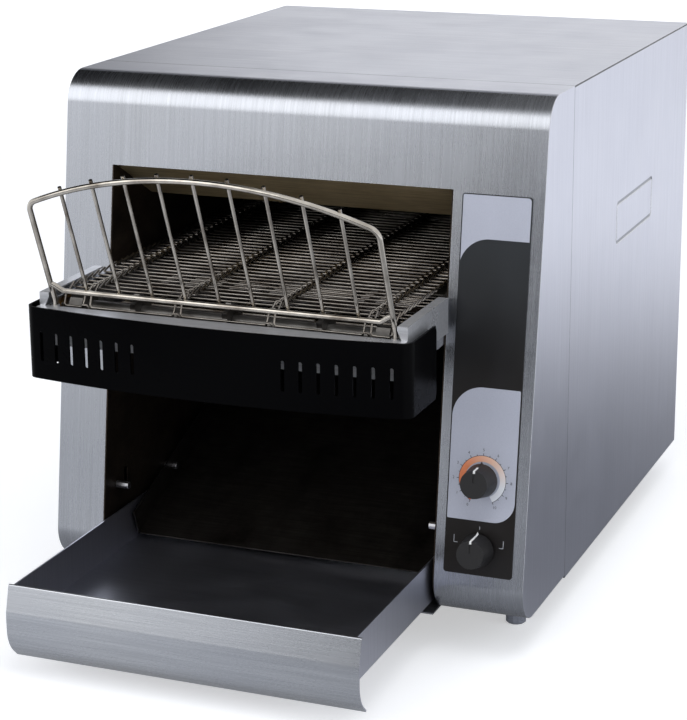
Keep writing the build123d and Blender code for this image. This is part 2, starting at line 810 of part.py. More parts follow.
# wheels: toothed ones on both shafts, plain drums beside them at the front
wheel_root = wheel_radius - wire_corner - rest_gap
bore_flat = shaft_radius + running_clearance
for name, place, pocket_angle in (
    ("idler_sprockets", idler_place, idler_pocket),
    ("drive_sprockets", drive_place, drive_pocket),
):
    with BuildPart() as wheels:
        for x in sprocket_columns:
            with BuildSketch(Plane.YZ.offset(lane_offset + x - sprocket_thickness / 2)):
                toothed(place, wheel_teeth, wheel_root, wheel_radius + 1, 1.5, pocket_angle)
                with Locations(place):
                    RegularPolygon(bore_flat, 8, major_radius=False, mode=Mode.SUBTRACT)
            extrude(amount=sprocket_thickness)
        if name == "idler_sprockets":
            for x in (-drum_column, drum_column):
                with BuildSketch(Plane.YZ.offset(lane_offset + x - drum_width / 2)):
                    with Locations(place):
                        RegularPolygon(wheel_root, 16)
                        RegularPolygon(bore_flat, 8, major_radius=False, mode=Mode.SUBTRACT)
                extrude(amount=drum_width)
    pieces[name] = wheels

# shafts
chain_x = lane_right + liner + chain_stand_off
for name, y, start, end in (
    ("idler_shaft", idler_y, lane_left + rest_gap, lane_right - rest_gap),
    ("drive_shaft", drive_y, lane_left - liner - 2, chain_x + 8),
):
    with BuildPart() as shaft:
        with BuildSketch(Plane.YZ.offset(start)):
            with Locations((y, wheel_z)):
                RegularPolygon(shaft_radius, 16)
        extrude(amount=end - start)
    pieces[name] = shaft

# belt: one bent wire per pitch, its two ends laid over the wire ahead of it
half_belt = belt_width / 2
half_wire = belt_wire / 2
with BuildPart() as conveyor_belt:
    for i, pin in enumerate(belt_pins):
        ahead = belt_pins[(i + 1) % belt_links]
        climb = atan2(ahead.Y - pin.Y, ahead.X - pin.X) + radians(weave_lift)
        strand = [
            (-half_belt, -half_wire),
            (half_belt, -half_wire),
            (half_belt, hook_tip),
            (half_belt - belt_wire, hook_tip),
            (half_belt - belt_wire, half_wire),
            (belt_wire - half_belt, half_wire),
            (belt_wire - half_belt, hook_tip),
            (-half_belt, hook_tip),
        ]
        with BuildSketch(
            Plane(
                origin=(lane_offset, pin.X, pin.Y),
                x_dir=(1, 0, 0),
                z_dir=(0, -sin(climb), cos(climb)),
            )
        ):
            Polygon(*strand, align=None)
    extrude(amount=half_wire, both=True)
pieces["conveyor_belt"] = conveyor_belt

# ================= chain drive, in the right-hand compartment =================

motor_place = (motor_y, motor_z)
chain_pins, motor_pocket, shaft_pocket = loop_pins(
    motor_place, drive_place, motor_teeth, shaft_teeth, chain_pitch, chain_links
)
sprocket_half = 2.15
tooth_height = chain_roller - rest_gap
for name, place, teeth, wheel, bore, pocket_angle in (
    ("motor_sprocket", motor_place, motor_teeth, motor_wheel, motor_shaft_radius, motor_pocket),
    ("shaft_sprocket", drive_place, shaft_teeth, shaft_wheel, shaft_radius, shaft_pocket),
):
    with BuildPart() as sprocket:
        with BuildSketch(Plane.YZ.offset(chain_x - sprocket_half)):
            root = wheel - chain_roller - rest_gap
            toothed(place, teeth, root, wheel + tooth_height, 1.47, pocket_angle)
            with Locations(place):
                RegularPolygon(bore + running_clearance, 8, major_radius=False, mode=Mode.SUBTRACT)
        extrude(amount=2 * sprocket_half)
    pieces[name] = sprocket

# chain: roller links and plate links turn about
inner_plate = sprocket_half + 0.25
outer_plate = inner_plate + chain_plate + 0.15
with BuildPart() as drive_chain:
    half_link = chain_pitch / 2
    link_planes = []
    for i, pin in enumerate(chain_pins):
        ahead = chain_pins[(i + 1) % chain_links]
        middle = (pin + ahead) * 0.5
        along = (0, ahead.X - pin.X, ahead.Y - pin.Y)
        link_planes.append(Plane(origin=(chain_x, middle.X, middle.Y), x_dir=along, z_dir=(1, 0, 0)))
        plate_x = inner_plate if i % 2 == 0 else outer_plate
        for start in (plate_x, -plate_x - chain_plate):
            with BuildSketch(link_planes[-1].offset(start)):
                Rectangle(chain_pitch + 5, 6)
    extrude(amount=chain_plate)
    for plane in link_planes[::2]:
        with BuildSketch(plane.offset(-inner_plate)):
            with Locations((-half_link, 0), (half_link, 0)):
                RegularPolygon(chain_roller, 4)
    extrude(amount=2 * inner_plate)
pieces["drive_chain"] = drive_chain

# gearbox and motor: below the slide, on the inside of the right-hand wall
gearbox_bottom = motor_z - 46
with BuildPart() as gearbox:
    with Locations((lane_right, motor_y, gearbox_bottom)):
        Box(gearbox_thickness, 70, 70, align=(Align.MAX, Align.CENTER, Align.MIN))
    chamfer(edges().filter_by(Axis.X), 4)
    with BuildSketch(Plane.YZ.offset(lane_right + skin)):
        with Locations(motor_place):
            RegularPolygon(motor_shaft_radius + running_clearance, flats, major_radius=False)
    extrude(amount=-gearbox_thickness / 2 - skin, mode=Mode.SUBTRACT)
pieces["gearbox"] = gearbox

with BuildPart() as drive_motor:
    with BuildSketch(Plane.YZ.offset(lane_right - gearbox_thickness)):
        with Locations((motor_y, motor_z - 12)):
            Rectangle(60, 56)
            chamfer(vertices(), 12)
    extrude(amount=-motor_length)
    with BuildSketch(Plane.YZ.offset(lane_right - gearbox_thickness - motor_length)):
        with Locations((motor_y, motor_z - 12)):
            RegularPolygon(12, 16)
    extrude(amount=-6)
pieces["drive_motor"] = drive_motor

with BuildPart() as motor_shaft:
    with BuildSketch(Plane.YZ.offset(lane_right - gearbox_thickness / 2 + 1)):
        with Locations(motor_place):
            RegularPolygon(motor_shaft_radius, 16)
    extrude(amount=gearbox_thickness / 2 - 1 + liner + chain_stand_off + 8)
pieces["motor_shaft"] = motor_shaft

# ================= slide and tray =================

slide_top = base_z + upper_reflector_height - rest_gap
slide_foot_y = seam_y - slide_foot_reach
slide_foot_z = base_z + slide_foot_height
slide_rear_y = seam_y + slide_rear
slope = tan(radians(slide_angle))
slide_corner_z = slide_foot_z + (slide_rear_y - slide_foot_y) * slope


def on_slide(y, above):
    """A place in the side view, above the slide's sloping face at y."""
    return (y, slide_foot_z + (y - slide_foot_y) * slope + above)


pins = [
    (seam_y - 82, base_z + 61),
    on_slide(seam_y, flange),
    on_slide(seam_y + 200, flange),
]
slide_path = [(slide_rear_y, slide_top), (slide_rear_y, slide_corner_z), (slide_foot_y, slide_foot_z)]
slide_left = lane_offset - slide_width / 2
with BuildPart() as toast_slide:
    with BuildSketch(Plane.YZ.offset(slide_left)):
        with BuildLine():
            FilletPolyline(*slide_path, radius=slide_bend)
            offset(amount=liner, side=Side.LEFT)
        make_face()
    extrude(amount=slide_width)
    for edge_x, inward in ((slide_left, 1), (slide_left + slide_width, -1)):
        with BuildSketch(Plane.YZ.offset(edge_x)):
            with BuildLine():
                FilletPolyline(*slide_path, radius=slide_bend)
                offset(amount=slide_flange, side=Side.RIGHT)
            make_face()
            with Locations(*pins):
                RegularPolygon(pin_radius + rest_gap, 8, mode=Mode.SUBTRACT)
        extrude(amount=inward * liner)
pieces["toast_slide"] = toast_slide

with BuildPart() as slide_pins:
    for wall_x, inward in ((lane_left, 1), (lane_right, -1)):
        with BuildSketch(Plane.YZ.offset(wall_x)):
            with Locations(*pins):
                RegularPolygon(pin_radius, 8)
        extrude(amount=inward * pin_length)
pieces["slide_pins"] = slide_pins

# discharge tray: a shallow box that draws out at the front, with a tall rolled lip
tray_front = seam_y - bezel_depth - tray_reach
tray_z = base_z + tray_floor
tray_top = tray_z + tray_height
tray_lip = [
    (tray_front + 5.5, tray_top),
    (tray_front, tray_z + 4),
    (tray_front, base_z + 3.6),
    (tray_front + 14.8, base_z - 14),
]
with BuildPart() as discharge_tray:
    with BuildSketch(Plane.YZ.offset(lane_offset - tray_width / 2)):
        Polygon(
            (tray_front + 5.5 + skin, tray_top),
            (tray_front + skin, tray_z + 4),
            (tray_front + skin, tray_z),
            (seam_y + tray_rear_reach, tray_z),
            (seam_y + tray_rear_reach, tray_top),
            align=None,
        )
    extrude(amount=tray_width)
    front_faces = faces().filter_by(Plane.YZ, reverse=True).sort_by(Axis.Y)
    offset(
        amount=-skin,
        openings=[front_faces[0], front_faces[1], front_faces[-1], faces().sort_by(Axis.Z)[-1]],
    )
    with BuildSketch(Plane.YZ.offset(lane_offset - tray_plate_width / 2)):
        with BuildLine():
            FilletPolyline(*tray_lip, radius=flange)
            offset(amount=skin, side=Side.LEFT)
        make_face()
    extrude(amount=tray_plate_width)
pieces["discharge_tray"] = discharge_tray

# runners under the tray
with BuildPart() as tray_runners:
    with Locations(
        (lane_offset - runner_column, seam_y, pan_top),
        (lane_offset + runner_column, seam_y, pan_top),
    ):
        Box(
            runner_width,
            2 * runner_column,
            tray_z - pan_top,
            align=(Align.CENTER, Align.CENTER, Align.MIN),
        )
pieces["tray_runners"] = tray_runners

# ================= controls =================

control_places = {
    "speed": (controls_x, up_face(speed_height)),
    "power": (controls_x, up_face(power_height)),
}
overlay_height = up_face(overlay_top - overlay_bottom)
with BuildPart() as control_overlay:
    with BuildSketch(face):
        with Locations((controls_x, up_face((overlay_top + overlay_bottom) / 2))):
            RectangleRounded(overlay_width, overlay_height, 6)
        with Locations(*control_places.values()):
            RegularPolygon(spindle_radius + 2, flats, mode=Mode.SUBTRACT)
    extrude(amount=overlay_thickness)
pieces["control_overlay"] = control_overlay

# behind the face a switch body with its bushing; in front a spindle and a knob that points up
knob_gap = 3.0
grip = 12.0
for (name, place), switch_name in zip(control_places.items(), ("speed_control", "power_switch")):
    with BuildPart() as switch:
        with BuildSketch(face.offset(-skin)):
            with Locations(place):
                RegularPolygon(switch_radius, 12)
        extrude(amount=-switch_depth)
        with BuildSketch(face.offset(-skin)):
            with Locations(place):
                RegularPolygon(spindle_radius + 2 - rest_gap, flats)
        extrude(amount=skin + overlay_thickness)
        with BuildSketch(face.offset(overlay_thickness)):
            with Locations(place):
                RegularPolygon(spindle_radius + running_clearance, flats, major_radius=False)
        extrude(amount=-overlay_thickness - skin - switch_depth + 2, mode=Mode.SUBTRACT)
    pieces[switch_name] = switch
    with BuildPart() as spindle:
        with BuildSketch(face.offset(overlay_thickness + knob_gap + grip - rest_gap)):
            with Locations(place):
                RegularPolygon(spindle_radius, flats)
        extrude(amount=-(overlay_thickness + knob_gap + grip + skin + switch_depth - 2 - 2 * rest_gap))
    pieces[name + "_spindle"] = spindle
    with BuildPart() as knob:
        with BuildSketch(face.offset(overlay_thickness + knob_gap)):
            with Locations(place):
                RegularPolygon(knob_radius, 24)
                Polygon((-5, 0), (5, 0), (0, knob_radius + nose), align=None)
        extrude(amount=knob_height, taper=knob_taper)
        with BuildSketch(face.offset(overlay_thickness + knob_gap + knob_height)):
            with Locations((place[0], place[1] + knob_radius * 0.6)):
                Rectangle(1.6, knob_radius)
        extrude(amount=-skin / 2, mode=Mode.SUBTRACT)
        with BuildSketch(face.offset(overlay_thickness + knob_gap)):
            with Locations(place):
                RegularPolygon(spindle_radius + running_clearance, flats, major_radius=False)
        extrude(amount=grip, mode=Mode.SUBTRACT)
    pieces[name + "_knob"] = knob

# speed circuit: a board on stand-offs from the right-hand wall
board_x = lane_right + liner + 5
with BuildPart() as control_board:
    with Locations((board_x, seam_y + 10, base_z + 70)):
        Box(1.6, 90, 110, align=(Align.MIN, Align.MIN, Align.MIN))
    with Locations(*[(board_x, seam_y + y, base_z + z) for y in (18, 92) for z in (78, 172)]):
        Box(5, 6, 6, align=(Align.MAX, Align.CENTER, Align.CENTER))
    for y, z, width, height, depth in ((38, 105, 30, 34, 22), (72, 150, 24, 20, 14), (76, 98, 16, 16, 18)):
        with Locations((board_x + 1.6, seam_y + y, base_z + z)):
            Box(depth, width, height, align=(Align.MIN, Align.CENTER, Align.CENTER))
pieces["control_board"] = control_board

# supply terminals on the pan
with BuildPart() as terminal_block:
    with Locations((foot_x - 4, rear_face_y - 127, pan_top)):
        Box(26, 50, 12, align=(Align.CENTER, Align.CENTER, Align.MIN))
        with GridLocations(0, 16, 1, 3):
            with Locations((0, 0, 12)):
                Box(20, 10, 8, align=(Align.CENTER, Align.CENTER, Align.MIN))
pieces["terminal_block"] = terminal_block

# cord gland in the rear panel: a flanged bush with a locknut inside
with BuildPart() as cord_gland:
    with BuildSketch(Plane.XZ.offset(-rear_face_y)):
        with Locations((gland_x, gland_z)):
            RegularPolygon(gland_radius + 3, 12)
    extrude(amount=-3)
    with BuildSketch(Plane.XZ.offset(-rear_face_y)):
        with Locations((gland_x, gland_z)):
            RegularPolygon(gland_radius, flats)
    extrude(amount=flange)
    with BuildSketch(Plane.XZ.offset(skin - rear_face_y)):
        with Locations((gland_x, gland_z)):
            RegularPolygon(gland_radius + 4, 6)
    extrude(amount=4)
    with BuildSketch(Plane.XZ.offset(-rear_y)):
        with Locations((gland_x, gland_z)):
            Circle(cord_radius)
    extrude(amount=4 * flange, mode=Mode.SUBTRACT)
pieces["cord_gland"] = cord_gland

# ================= cooling fan =================

fan_back = rear_face_y - skin
fan_front = fan_back - fan_depth
with BuildPart() as fan_housing:
    with Locations((fan_x, fan_back, fan_z)):
        Box(fan_size, fan_depth, fan_size, align=(Align.CENTER, Align.MAX, Align.CENTER))
    chamfer(edges().filter_by(Axis.Y), 4)
    with BuildSketch(Plane.XZ.offset(-fan_back)):
        with Locations((fan_x, fan_z)):
            RegularPolygon(fan_bore, 2 * flats)
    extrude(amount=fan_depth, mode=Mode.SUBTRACT)
    with BuildSketch(Plane.XZ.offset(-fan_back)):
        with Locations((fan_x, fan_z)):
            RegularPolygon(22, flats)
            for turn in (45, 135):
                Rectangle(2 * fan_bore + 2, 5, rotation=turn)
            RegularPolygon(
                spindle_radius + running_clearance, flats, major_radius=False, mode=Mode.SUBTRACT
            )
    extrude(amount=3)
pieces["fan_housing"] = fan_housing

with BuildPart() as fan_rotor:
    with BuildSketch(Plane.XZ.offset(-fan_front - 2)):
        with Locations((fan_x, fan_z)):
            RegularPolygon(20, 16)
    extrude(amount=-(fan_depth - 2 - 3 - 1))
    with BuildSketch(Plane.XZ.offset(-fan_back)):
        with Locations((fan_x, fan_z)):
            RegularPolygon(spindle_radius, flats)
    extrude(amount=fan_depth / 2)
    for i in range(blades):
        turn = i * 360 / blades
        with Locations(Location((fan_x, fan_back - 4 - (fan_depth - 6) / 2, fan_z), (0, turn, 0))):
            with Locations(Location((18, 0, 0), (35, 0, 0))):
                Box(fan_bore - 2.5 - 18, 22, 1.6, align=(Align.MIN, Align.CENTER, Align.CENTER))
pieces["fan_rotor"] = fan_rotor

# ================= feet =================

sleeve_bottom = foot_base + rest_gap
with BuildPart() as foot_sleeves:
    for x, y in foot_places.values():
        sleeve_top = bezel_z if y < seam_y else pan_z
        with BuildSketch(Plane.XY.offset(sleeve_bottom)):
            with Locations((x, y)):
                RegularPolygon(sleeve_radius, flats)
                RegularPolygon(stem_radius + stem_clearance, 8, mode=Mode.SUBTRACT)
        extrude(amount=sleeve_top - sleeve_bottom)
pieces["foot_sleeves"] = foot_sleeves

with BuildPart() as foot_nuts:
    with BuildSketch(Plane.XY.offset(pan_top)):
        with Locations(*foot_places.values()):
            RegularPolygon(2 * stem_radius, 6)
            RegularPolygon(stem_radius + stem_clearance, 8, mode=Mode.SUBTRACT)
    extrude(amount=nut_height)
pieces["foot_nuts"] = foot_nuts

for name, (x, y) in foot_places.items():
    with BuildPart() as foot:
        with BuildSketch():
            with Locations((x, y)):
                RegularPolygon(foot_radius, flats)
        extrude(amount=foot_base)
        chamfer(edges().group_by(Axis.Z)[0], skin)
        with BuildSketch(Plane.XY.offset(foot_base)):
            with Locations((x, y)):
                RegularPolygon(stem_radius, 8)
        extrude(amount=pan_top + nut_height + foot_travel + 2 - foot_base)
    pieces["foot_" + name] = foot

# ================= rear panel's screws =================

with BuildPart() as panel_screws:
    with BuildSketch(Plane.XZ.offset(-rear_face_y)):
        with Locations(*edge_screws, *top_screws, *fan_screws):
            RegularPolygon(2.4 * screw_radius, 6)
    extrude(amount=-1.6)
pieces["panel_screws"] = panel_screws

os.makedirs("parts", exist_ok=True)
for name, piece in pieces.items():
    piece.part.label = name
    export_step(piece.part, f"parts/{name}.step")
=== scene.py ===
import math

import bpy
from mathutils import Euler, Matrix, Vector


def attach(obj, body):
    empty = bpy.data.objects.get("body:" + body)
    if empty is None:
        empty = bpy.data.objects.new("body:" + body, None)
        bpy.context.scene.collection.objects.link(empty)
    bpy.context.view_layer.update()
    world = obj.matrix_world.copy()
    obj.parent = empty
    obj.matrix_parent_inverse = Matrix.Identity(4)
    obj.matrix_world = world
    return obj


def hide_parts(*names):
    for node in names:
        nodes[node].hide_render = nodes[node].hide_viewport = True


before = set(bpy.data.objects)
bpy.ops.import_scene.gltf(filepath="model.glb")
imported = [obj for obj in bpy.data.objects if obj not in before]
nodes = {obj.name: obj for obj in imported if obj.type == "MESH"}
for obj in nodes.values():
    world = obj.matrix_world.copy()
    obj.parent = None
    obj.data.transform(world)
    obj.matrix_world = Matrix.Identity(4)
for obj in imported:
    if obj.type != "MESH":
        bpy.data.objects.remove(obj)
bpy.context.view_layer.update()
print("frame:", len(nodes), "nodes")

# metres, in the frame of the solids
toaster = {
    "laneX": -0.0137,
    "seamY": -0.048,
    "baseZ": 0.0255,
    "faceFootY": -0.1575,
    "lean": math.radians(7.95),
}


def rgb(red, green, blue):
    # a colour as it looks on a screen, 0 to 255
    linear = []
    for value in (red, green, blue):
        share = value / 255
        linear.append(share / 12.92 if share <= 0.04045 else ((share + 0.055) / 1.055) ** 2.4)
    return (*linear, 1.0)


class Val:
    # one output of a node, so that sums and masks can be written out
    def __init__(self, finish, socket):
        self.finish = finish
        self.socket = socket

    def math(self, operation, *others):
        return self.finish.node("ShaderNodeMath", {"operation": operation}, [self, *others])

    def __add__(self, other):
        return self.math("ADD", other)

    __radd__ = __add__

    def __mul__(self, other):
        return self.math("MULTIPLY", other)

    __rmul__ = __mul__

    def __sub__(self, other):
        return self.math("SUBTRACT", other)

    def __rsub__(self, other):
        return self.finish.node("ShaderNodeMath", {"operation": "SUBTRACT"}, [other, self])

    def __truediv__(self, other):
        return self.math("DIVIDE", other)

    def __gt__(self, other):
        return self.math("GREATER_THAN", other)

    def __lt__(self, other):
        return self.math("LESS_THAN", other)

    def __abs__(self):
        return self.math("ABSOLUTE")


class Nodes:
    def __init__(self, tree):
        self.tree = tree

    def feed(self, socket, value):
        if isinstance(value, Val):
            self.tree.links.new(value.socket, socket)
        else:
            socket.default_value = value

    def node(self, kind, settings=None, values=(), out=0):
        made = self.tree.nodes.new(kind)
        for name, value in (settings or {}).items():
            if name == "stops":
                ramp = made.color_ramp
                while len(ramp.elements) < len(value):
                    ramp.elements.new(1.0)
                for element, (place, colour) in zip(ramp.elements, value):
                    element.position = place
                    element.color = colour
            else:
                setattr(made, name, value)
        pairs = values.items() if isinstance(values, dict) else enumerate(values)
        for key, value in pairs:
            self.feed(made.inputs[key], value)
        return None if out is None else Val(self, made.outputs[out])

    def mix(self, share, first, second):
        return self.node("ShaderNodeMix", {"data_type": "RGBA"}, {0: share, 6: first, 7: second}, 2)

    def axes(self, vector):
        split = self.tree.nodes.new("ShaderNodeSeparateXYZ")
        self.feed(split.inputs[0], vector)
        return [Val(self, socket) for socket in split.outputs]

    def range(self, value, low, high, first=0.0, last=1.0, smooth=False):
        kind = {"interpolation_type": "SMOOTHSTEP"} if smooth else {}
        return self.node("ShaderNodeMapRange", kind, [value, low, high, first, last])

    def rays(self, *kinds):
        # 1 for rays of any of these kinds
        path = self.tree.nodes.new("ShaderNodeLightPath")
        found = Val(self, path.outputs[kinds[0]])
        for kind in kinds[1:]:
            found = found + Val(self, path.outputs[kind])
        return found.math("MINIMUM", 1.0)


class Finish(Nodes):
    def __init__(self, name, **fixed):
        self.material = bpy.data.materials.new(name)
        self.material.use_nodes = True
        super().__init__(self.material.node_tree)
        self.shader = self.tree.nodes["Principled BSDF"]
        self.object = self.node("ShaderNodeTexCoord", out=3)
        for socket, value in fixed.items():
            self.put(socket.replace("_", " "), value)

    def put(self, socket, value):
        self.feed(self.shader.inputs[socket], value)

    def place(self, centre=(0, 0, 0), turn=(0, 0, 0)):
        # object coordinates seen from another origin and direction
        return self.node(
            "ShaderNodeMapping", {"vector_type": "TEXTURE"}, {0: self.object, 1: centre, 2: turn}
        )

    def noise(self, stretch, detail=2.0, rough=0.5, where=None):
        spread = self.node("ShaderNodeMapping", {}, {0: where or self.object, 3: stretch})
        values = {"Vector": spread, "Scale": 1.0, "Detail": detail, "Roughness": rough}
        return self.node("ShaderNodeTexNoise", {}, values)

    def bump(self, height, strength, distance=0.0005):
        values = {"Strength": strength, "Distance": distance, "Height": height}
        self.put("Normal", self.node("ShaderNodeBump", {}, values))


# how close the grain lies across its run and along it
brushing = {"lines": (1900, 22), "hair": (620, 7)}


def brushedSteel(name, look, fine):
    # fine has a 1 for each axis that the grain's lines lie close together along
    finish = Finish(name, Metallic=1.0)
    across, along = brushing["lines"]
    lines = finish.noise([across if one else along for one in fine], 3.0, 0.6)
    across, along = brushing["hair"]
    hair = finish.noise([across if one else along for one in fine], 2.0)
    cloud = finish.noise((9, 7, 6), 2.0)
    smear = finish.noise((24, 24, 24), 4.0, 0.6)
    tone = finish.mix(finish.range(hair, 0.3, 0.7), look["dark"], look["light"])
    tone = finish.mix(finish.range(lines, 0.3, 0.75, 0.0, look["lines"]), tone, look["deep"])
    tone = finish.mix(finish.range(cloud, 0.35, 0.7, 0.0, 0.4), tone, look["cloud"])
    finish.put("Base Color", tone)
    rough = finish.range(lines, 0.2, 0.8, look["rough"] - 0.04, look["rough"] + 0.06)
    finish.put("Roughness", rough + finish.range(smear, 0.4, 0.75, 0.0, 0.05))
    finish.bump(lines * 0.7 + hair * 0.3, look["bump"], 0.0002)
    return finish.material


# painted shade: the front face's tone of the steel, darker than the sides and top; the other looks
# start from it
steelLook = {
    "dark": rgb(168, 171, 177),
    "light": rgb(180, 183, 190),
    "deep": rgb(149, 152, 159),
    "cloud": rgb(172, 176, 186),
    "lines": 0.4,
    "rough": 0.25,
    "bump": 0.1,
}
# painted light: the same steel in a lighter, bluer tone for the side panels
litSideLook = {
    **steelLook,
    "dark": rgb(208, 210, 222),
    "light": rgb(217, 219, 231),
    "deep": rgb(194, 196, 208),
    "cloud": rgb(210, 213, 226),
    "lines": 0.3,
    "rough": 0.33,
    "bump": 0.07,
}
# painted light: the same steel in a lighter, bluer tone for the top
litTopLook = {
    **steelLook,
    "dark": rgb(204, 207, 220),
    "light": rgb(220, 223, 235),
    "deep": rgb(176, 179, 193),
    "cloud": rgb(208, 212, 225),
    "lines": 0.5,
    "rough": 0.3,
}
edgeLook = {
    **steelLook,
    "dark": rgb(206, 208, 213),
    "light": rgb(226, 228, 232),
    "lines": 0.25,
    "rough": 0.24,
}
# painted shade: a dark tone of the steel for seams and the cover's turned-down sides, where shadow
# falls
seamShadowLook = {
    **steelLook,
    "dark": rgb(70, 72, 80),
    "light": rgb(92, 94, 102),
    "deep": rgb(52, 54, 60),
    "cloud": rgb(80, 82, 90),
    "rough": 0.42,
}

trayLook = {**steelLook, "dark": rgb(182, 185, 191), "light": rgb(196, 199, 205)}
# painted shade: a darker tone of the side steel for the groove of the panels' pressed frame
grooveShadeLook = {
    **steelLook,
    "dark": rgb(158, 161, 170),
    "light": rgb(172, 175, 184),
    "deep": rgb(140, 143, 152),
    "cloud": rgb(162, 165, 174),
    "rough": 0.4,
}

shadedFaceSteel = brushedSteel("brushedFaceShaded", steelLook, (1, 0, 0))
litSideSteel = brushedSteel("brushedSideLit", litSideLook, (0, 1, 0))
litTopSteel = brushedSteel("brushedTopLit", litTopLook, (0, 1, 0))
traySteel = brushedSteel("brushedTray", trayLook, (0, 0, 1))
edgeSteel = brushedSteel("polishedEdge", edgeLook, (1, 1, 1))
seamShadowSteel = brushedSteel("seamShade", seamShadowLook, (1, 1, 1))
grooveShadeSteel = brushedSteel("pressedGrooveShade", grooveShadeLook, (0, 1, 0))


def rolledSheet(name, base, tint, rough=0.42, metallic=1.0, soot=0.0, sootColour=rgb(38, 30, 24)):
    # mill finish sheet: faint rolling lines, blotches, and heat tint or soot inside the tunnel
    finish = Finish(name, Metallic=metallic)
    rolled = finish.noise((30, 700, 700), 3.0)
    blotch = finish.noise((22, 17, 26), 5.0, 0.62)
    speck = finish.noise((420, 420, 420), 2.0)
    tone = finish.mix(finish.range(rolled, 0.3, 0.7), base, tint)
    sooty = finish.range(blotch, 0.38, 0.72, soot * 0.5, min(1.0, soot * 1.25 + 0.12))
    tone = finish.mix(sooty, tone, sootColour)
    finish.put("Base Color", tone)
    finish.put("Roughness", finish.range(blotch, 0.3, 0.7, rough - 0.06, rough + 0.12))
    finish.bump(rolled * 0.5 + speck * 0.5, 0.16, 0.0003)
    return finish.material


plainSteel = rolledSheet("plainSteel", rgb(150, 152, 156), rgb(178, 179, 182))
tunnelSteel = rolledSheet(
    "tunnelSteel", rgb(92, 80, 68), rgb(60, 52, 46), 0.46, 0.85, 0.8, rgb(17, 13, 11)
)
slideSteel = rolledSheet(
    "slideSteel", rgb(96, 92, 88), rgb(70, 66, 62), 0.4, 0.9, 0.7, rgb(22, 18, 16)
)
reflectorSheet = rolledSheet(
    "reflectorSheet", rgb(160, 158, 150), rgb(120, 116, 106), 0.35, 0.95, 0.35
)
baffleSheet = rolledSheet(
    "baffleSheet", rgb(250, 230, 184), rgb(206, 180, 132), 0.36, 0.8, 0.2, rgb(104, 78, 48)
)
galvanised = rolledSheet(
    "galvanisedSheet", rgb(222, 223, 225), rgb(196, 198, 202), 0.5, 0.15, 0.1, rgb(150, 150, 150)
)
footSteel = rolledSheet(
    "platedFoot", rgb(206, 210, 222), rgb(168, 172, 184), 0.2, 0.55, 0.2, rgb(96, 98, 106)
)
armSteel = rolledSheet(
    "armSteel", rgb(168, 170, 176), rgb(190, 191, 196), 0.3, 1.0, 0.1, rgb(96, 92, 90)
)
hemSteel = rolledSheet(
    "hemSteel", rgb(202, 204, 209), rgb(222, 223, 227), 0.3, 0.7, 0.12, rgb(142, 140, 138)
)
crumbSteel = rolledSheet(
    "crumbSteel", rgb(84, 72, 62), rgb(58, 48, 40), 0.4, 0.9, 0.6, rgb(26, 18, 13)
)


def drawnWire(name, base, dark, rough, tarnish, streak=120):
    finish = Finish(name, Metallic=1.0)
    film = finish.noise((60, 60, 60), 3.0)
    scratch = finish.noise((streak, 2600, 2600), 2.0)
    finish.put("Base Color", finish.mix(finish.range(film, 0.42, 0.75, 0.0, tarnish), base, dark))
    finish.put("Roughness", finish.range(scratch, 0.3, 0.7, rough - 0.04, rough + 0.08))
    finish.bump(scratch, 0.08, 0.0001)
    return finish.material


chrome = drawnWire("platedWire", rgb(194, 189, 181), rgb(88, 76, 66), 0.1, 0.75)
beltSteel = drawnWire("beltWire", rgb(158, 153, 147), rgb(74, 62, 52), 0.28, 0.8)
oiledSteel = drawnWire("oiledSteel", rgb(112, 110, 108), rgb(58, 54, 50), 0.34, 0.8, 900)
spindleSteel = drawnWire("spindleSteel", rgb(160, 160, 162), rgb(110, 108, 104), 0.28, 0.5, 900)
screwSteel = drawnWire("screwSteel", rgb(158, 158, 160), rgb(96, 94, 92), 0.32, 0.6, 900)


def enamel(name, base, rough, wear, shine):
    # stoved gloss with a little orange peel and fine dust
    finish = Finish(name, Specular_IOR_Level=shine)
    peel = finish.noise((260, 260, 260), 2.0)
    dust = finish.noise((900, 900, 900), 3.0, 0.7)
    smudge = finish.noise((18, 18, 18), 4.0, 0.6)
    finish.put("Base Color", finish.mix(finish.range(dust, 0.62, 0.85, 0.0, 0.3), base, wear))
    finish.put("Roughness", finish.range(smudge, 0.35, 0.75, rough, rough + 0.14))
    finish.bump(peel, 0.05, 0.0003)
    return finish.material


blackEnamel = enamel("glossEnamel", rgb(4, 4, 5), 0.2, rgb(18, 18, 20), 0.03)
motorLacquer = enamel("motorLacquer", rgb(34, 34, 37), 0.4, rgb(70, 70, 74), 0.3)


def moulded(name, base, pale, rough=0.5, pebble=1500):
    finish = Finish(name)
    skin = finish.noise((pebble, pebble, pebble), 2.0)
    cloud = finish.noise((40, 40, 40), 3.0)
    finish.put("Base Color", finish.mix(finish.range(cloud, 0.35, 0.7), base, pale))
    finish.put("Roughness", finish.range(skin, 0.3, 0.7, rough - 0.05, rough + 0.1))
    finish.bump(skin, 0.12, 0.0002)
    return finish.material


blackPlastic = moulded("blackPlastic", rgb(22, 22, 24), rgb(32, 32, 34))
ceramic = moulded("firedCeramic", rgb(214, 208, 194), rgb(228, 224, 214), 0.55, 800)
wool = moulded("mineralWool", rgb(190, 180, 150), rgb(160, 150, 120), 0.9, 420)
castAlloy = rolledSheet(
    "castAlloy", rgb(150, 150, 154), rgb(168, 168, 171), 0.5, 0.9, 0.1, rgb(96, 94, 92)
)
bronze = rolledSheet(
    "sinteredBronze", rgb(176, 138, 84), rgb(150, 112, 66), 0.44, 0.95, 0.2, rgb(80, 56, 34)
)
sheath = rolledSheet(
    "elementSheath", rgb(74, 68, 64), rgb(52, 47, 44), 0.5, 0.7, 0.4, rgb(26, 20, 18)
)
boardLaminate = moulded("boardLaminate", rgb(24, 78, 44), rgb(34, 96, 54), 0.45, 700)
print("finishes: plain ones done")


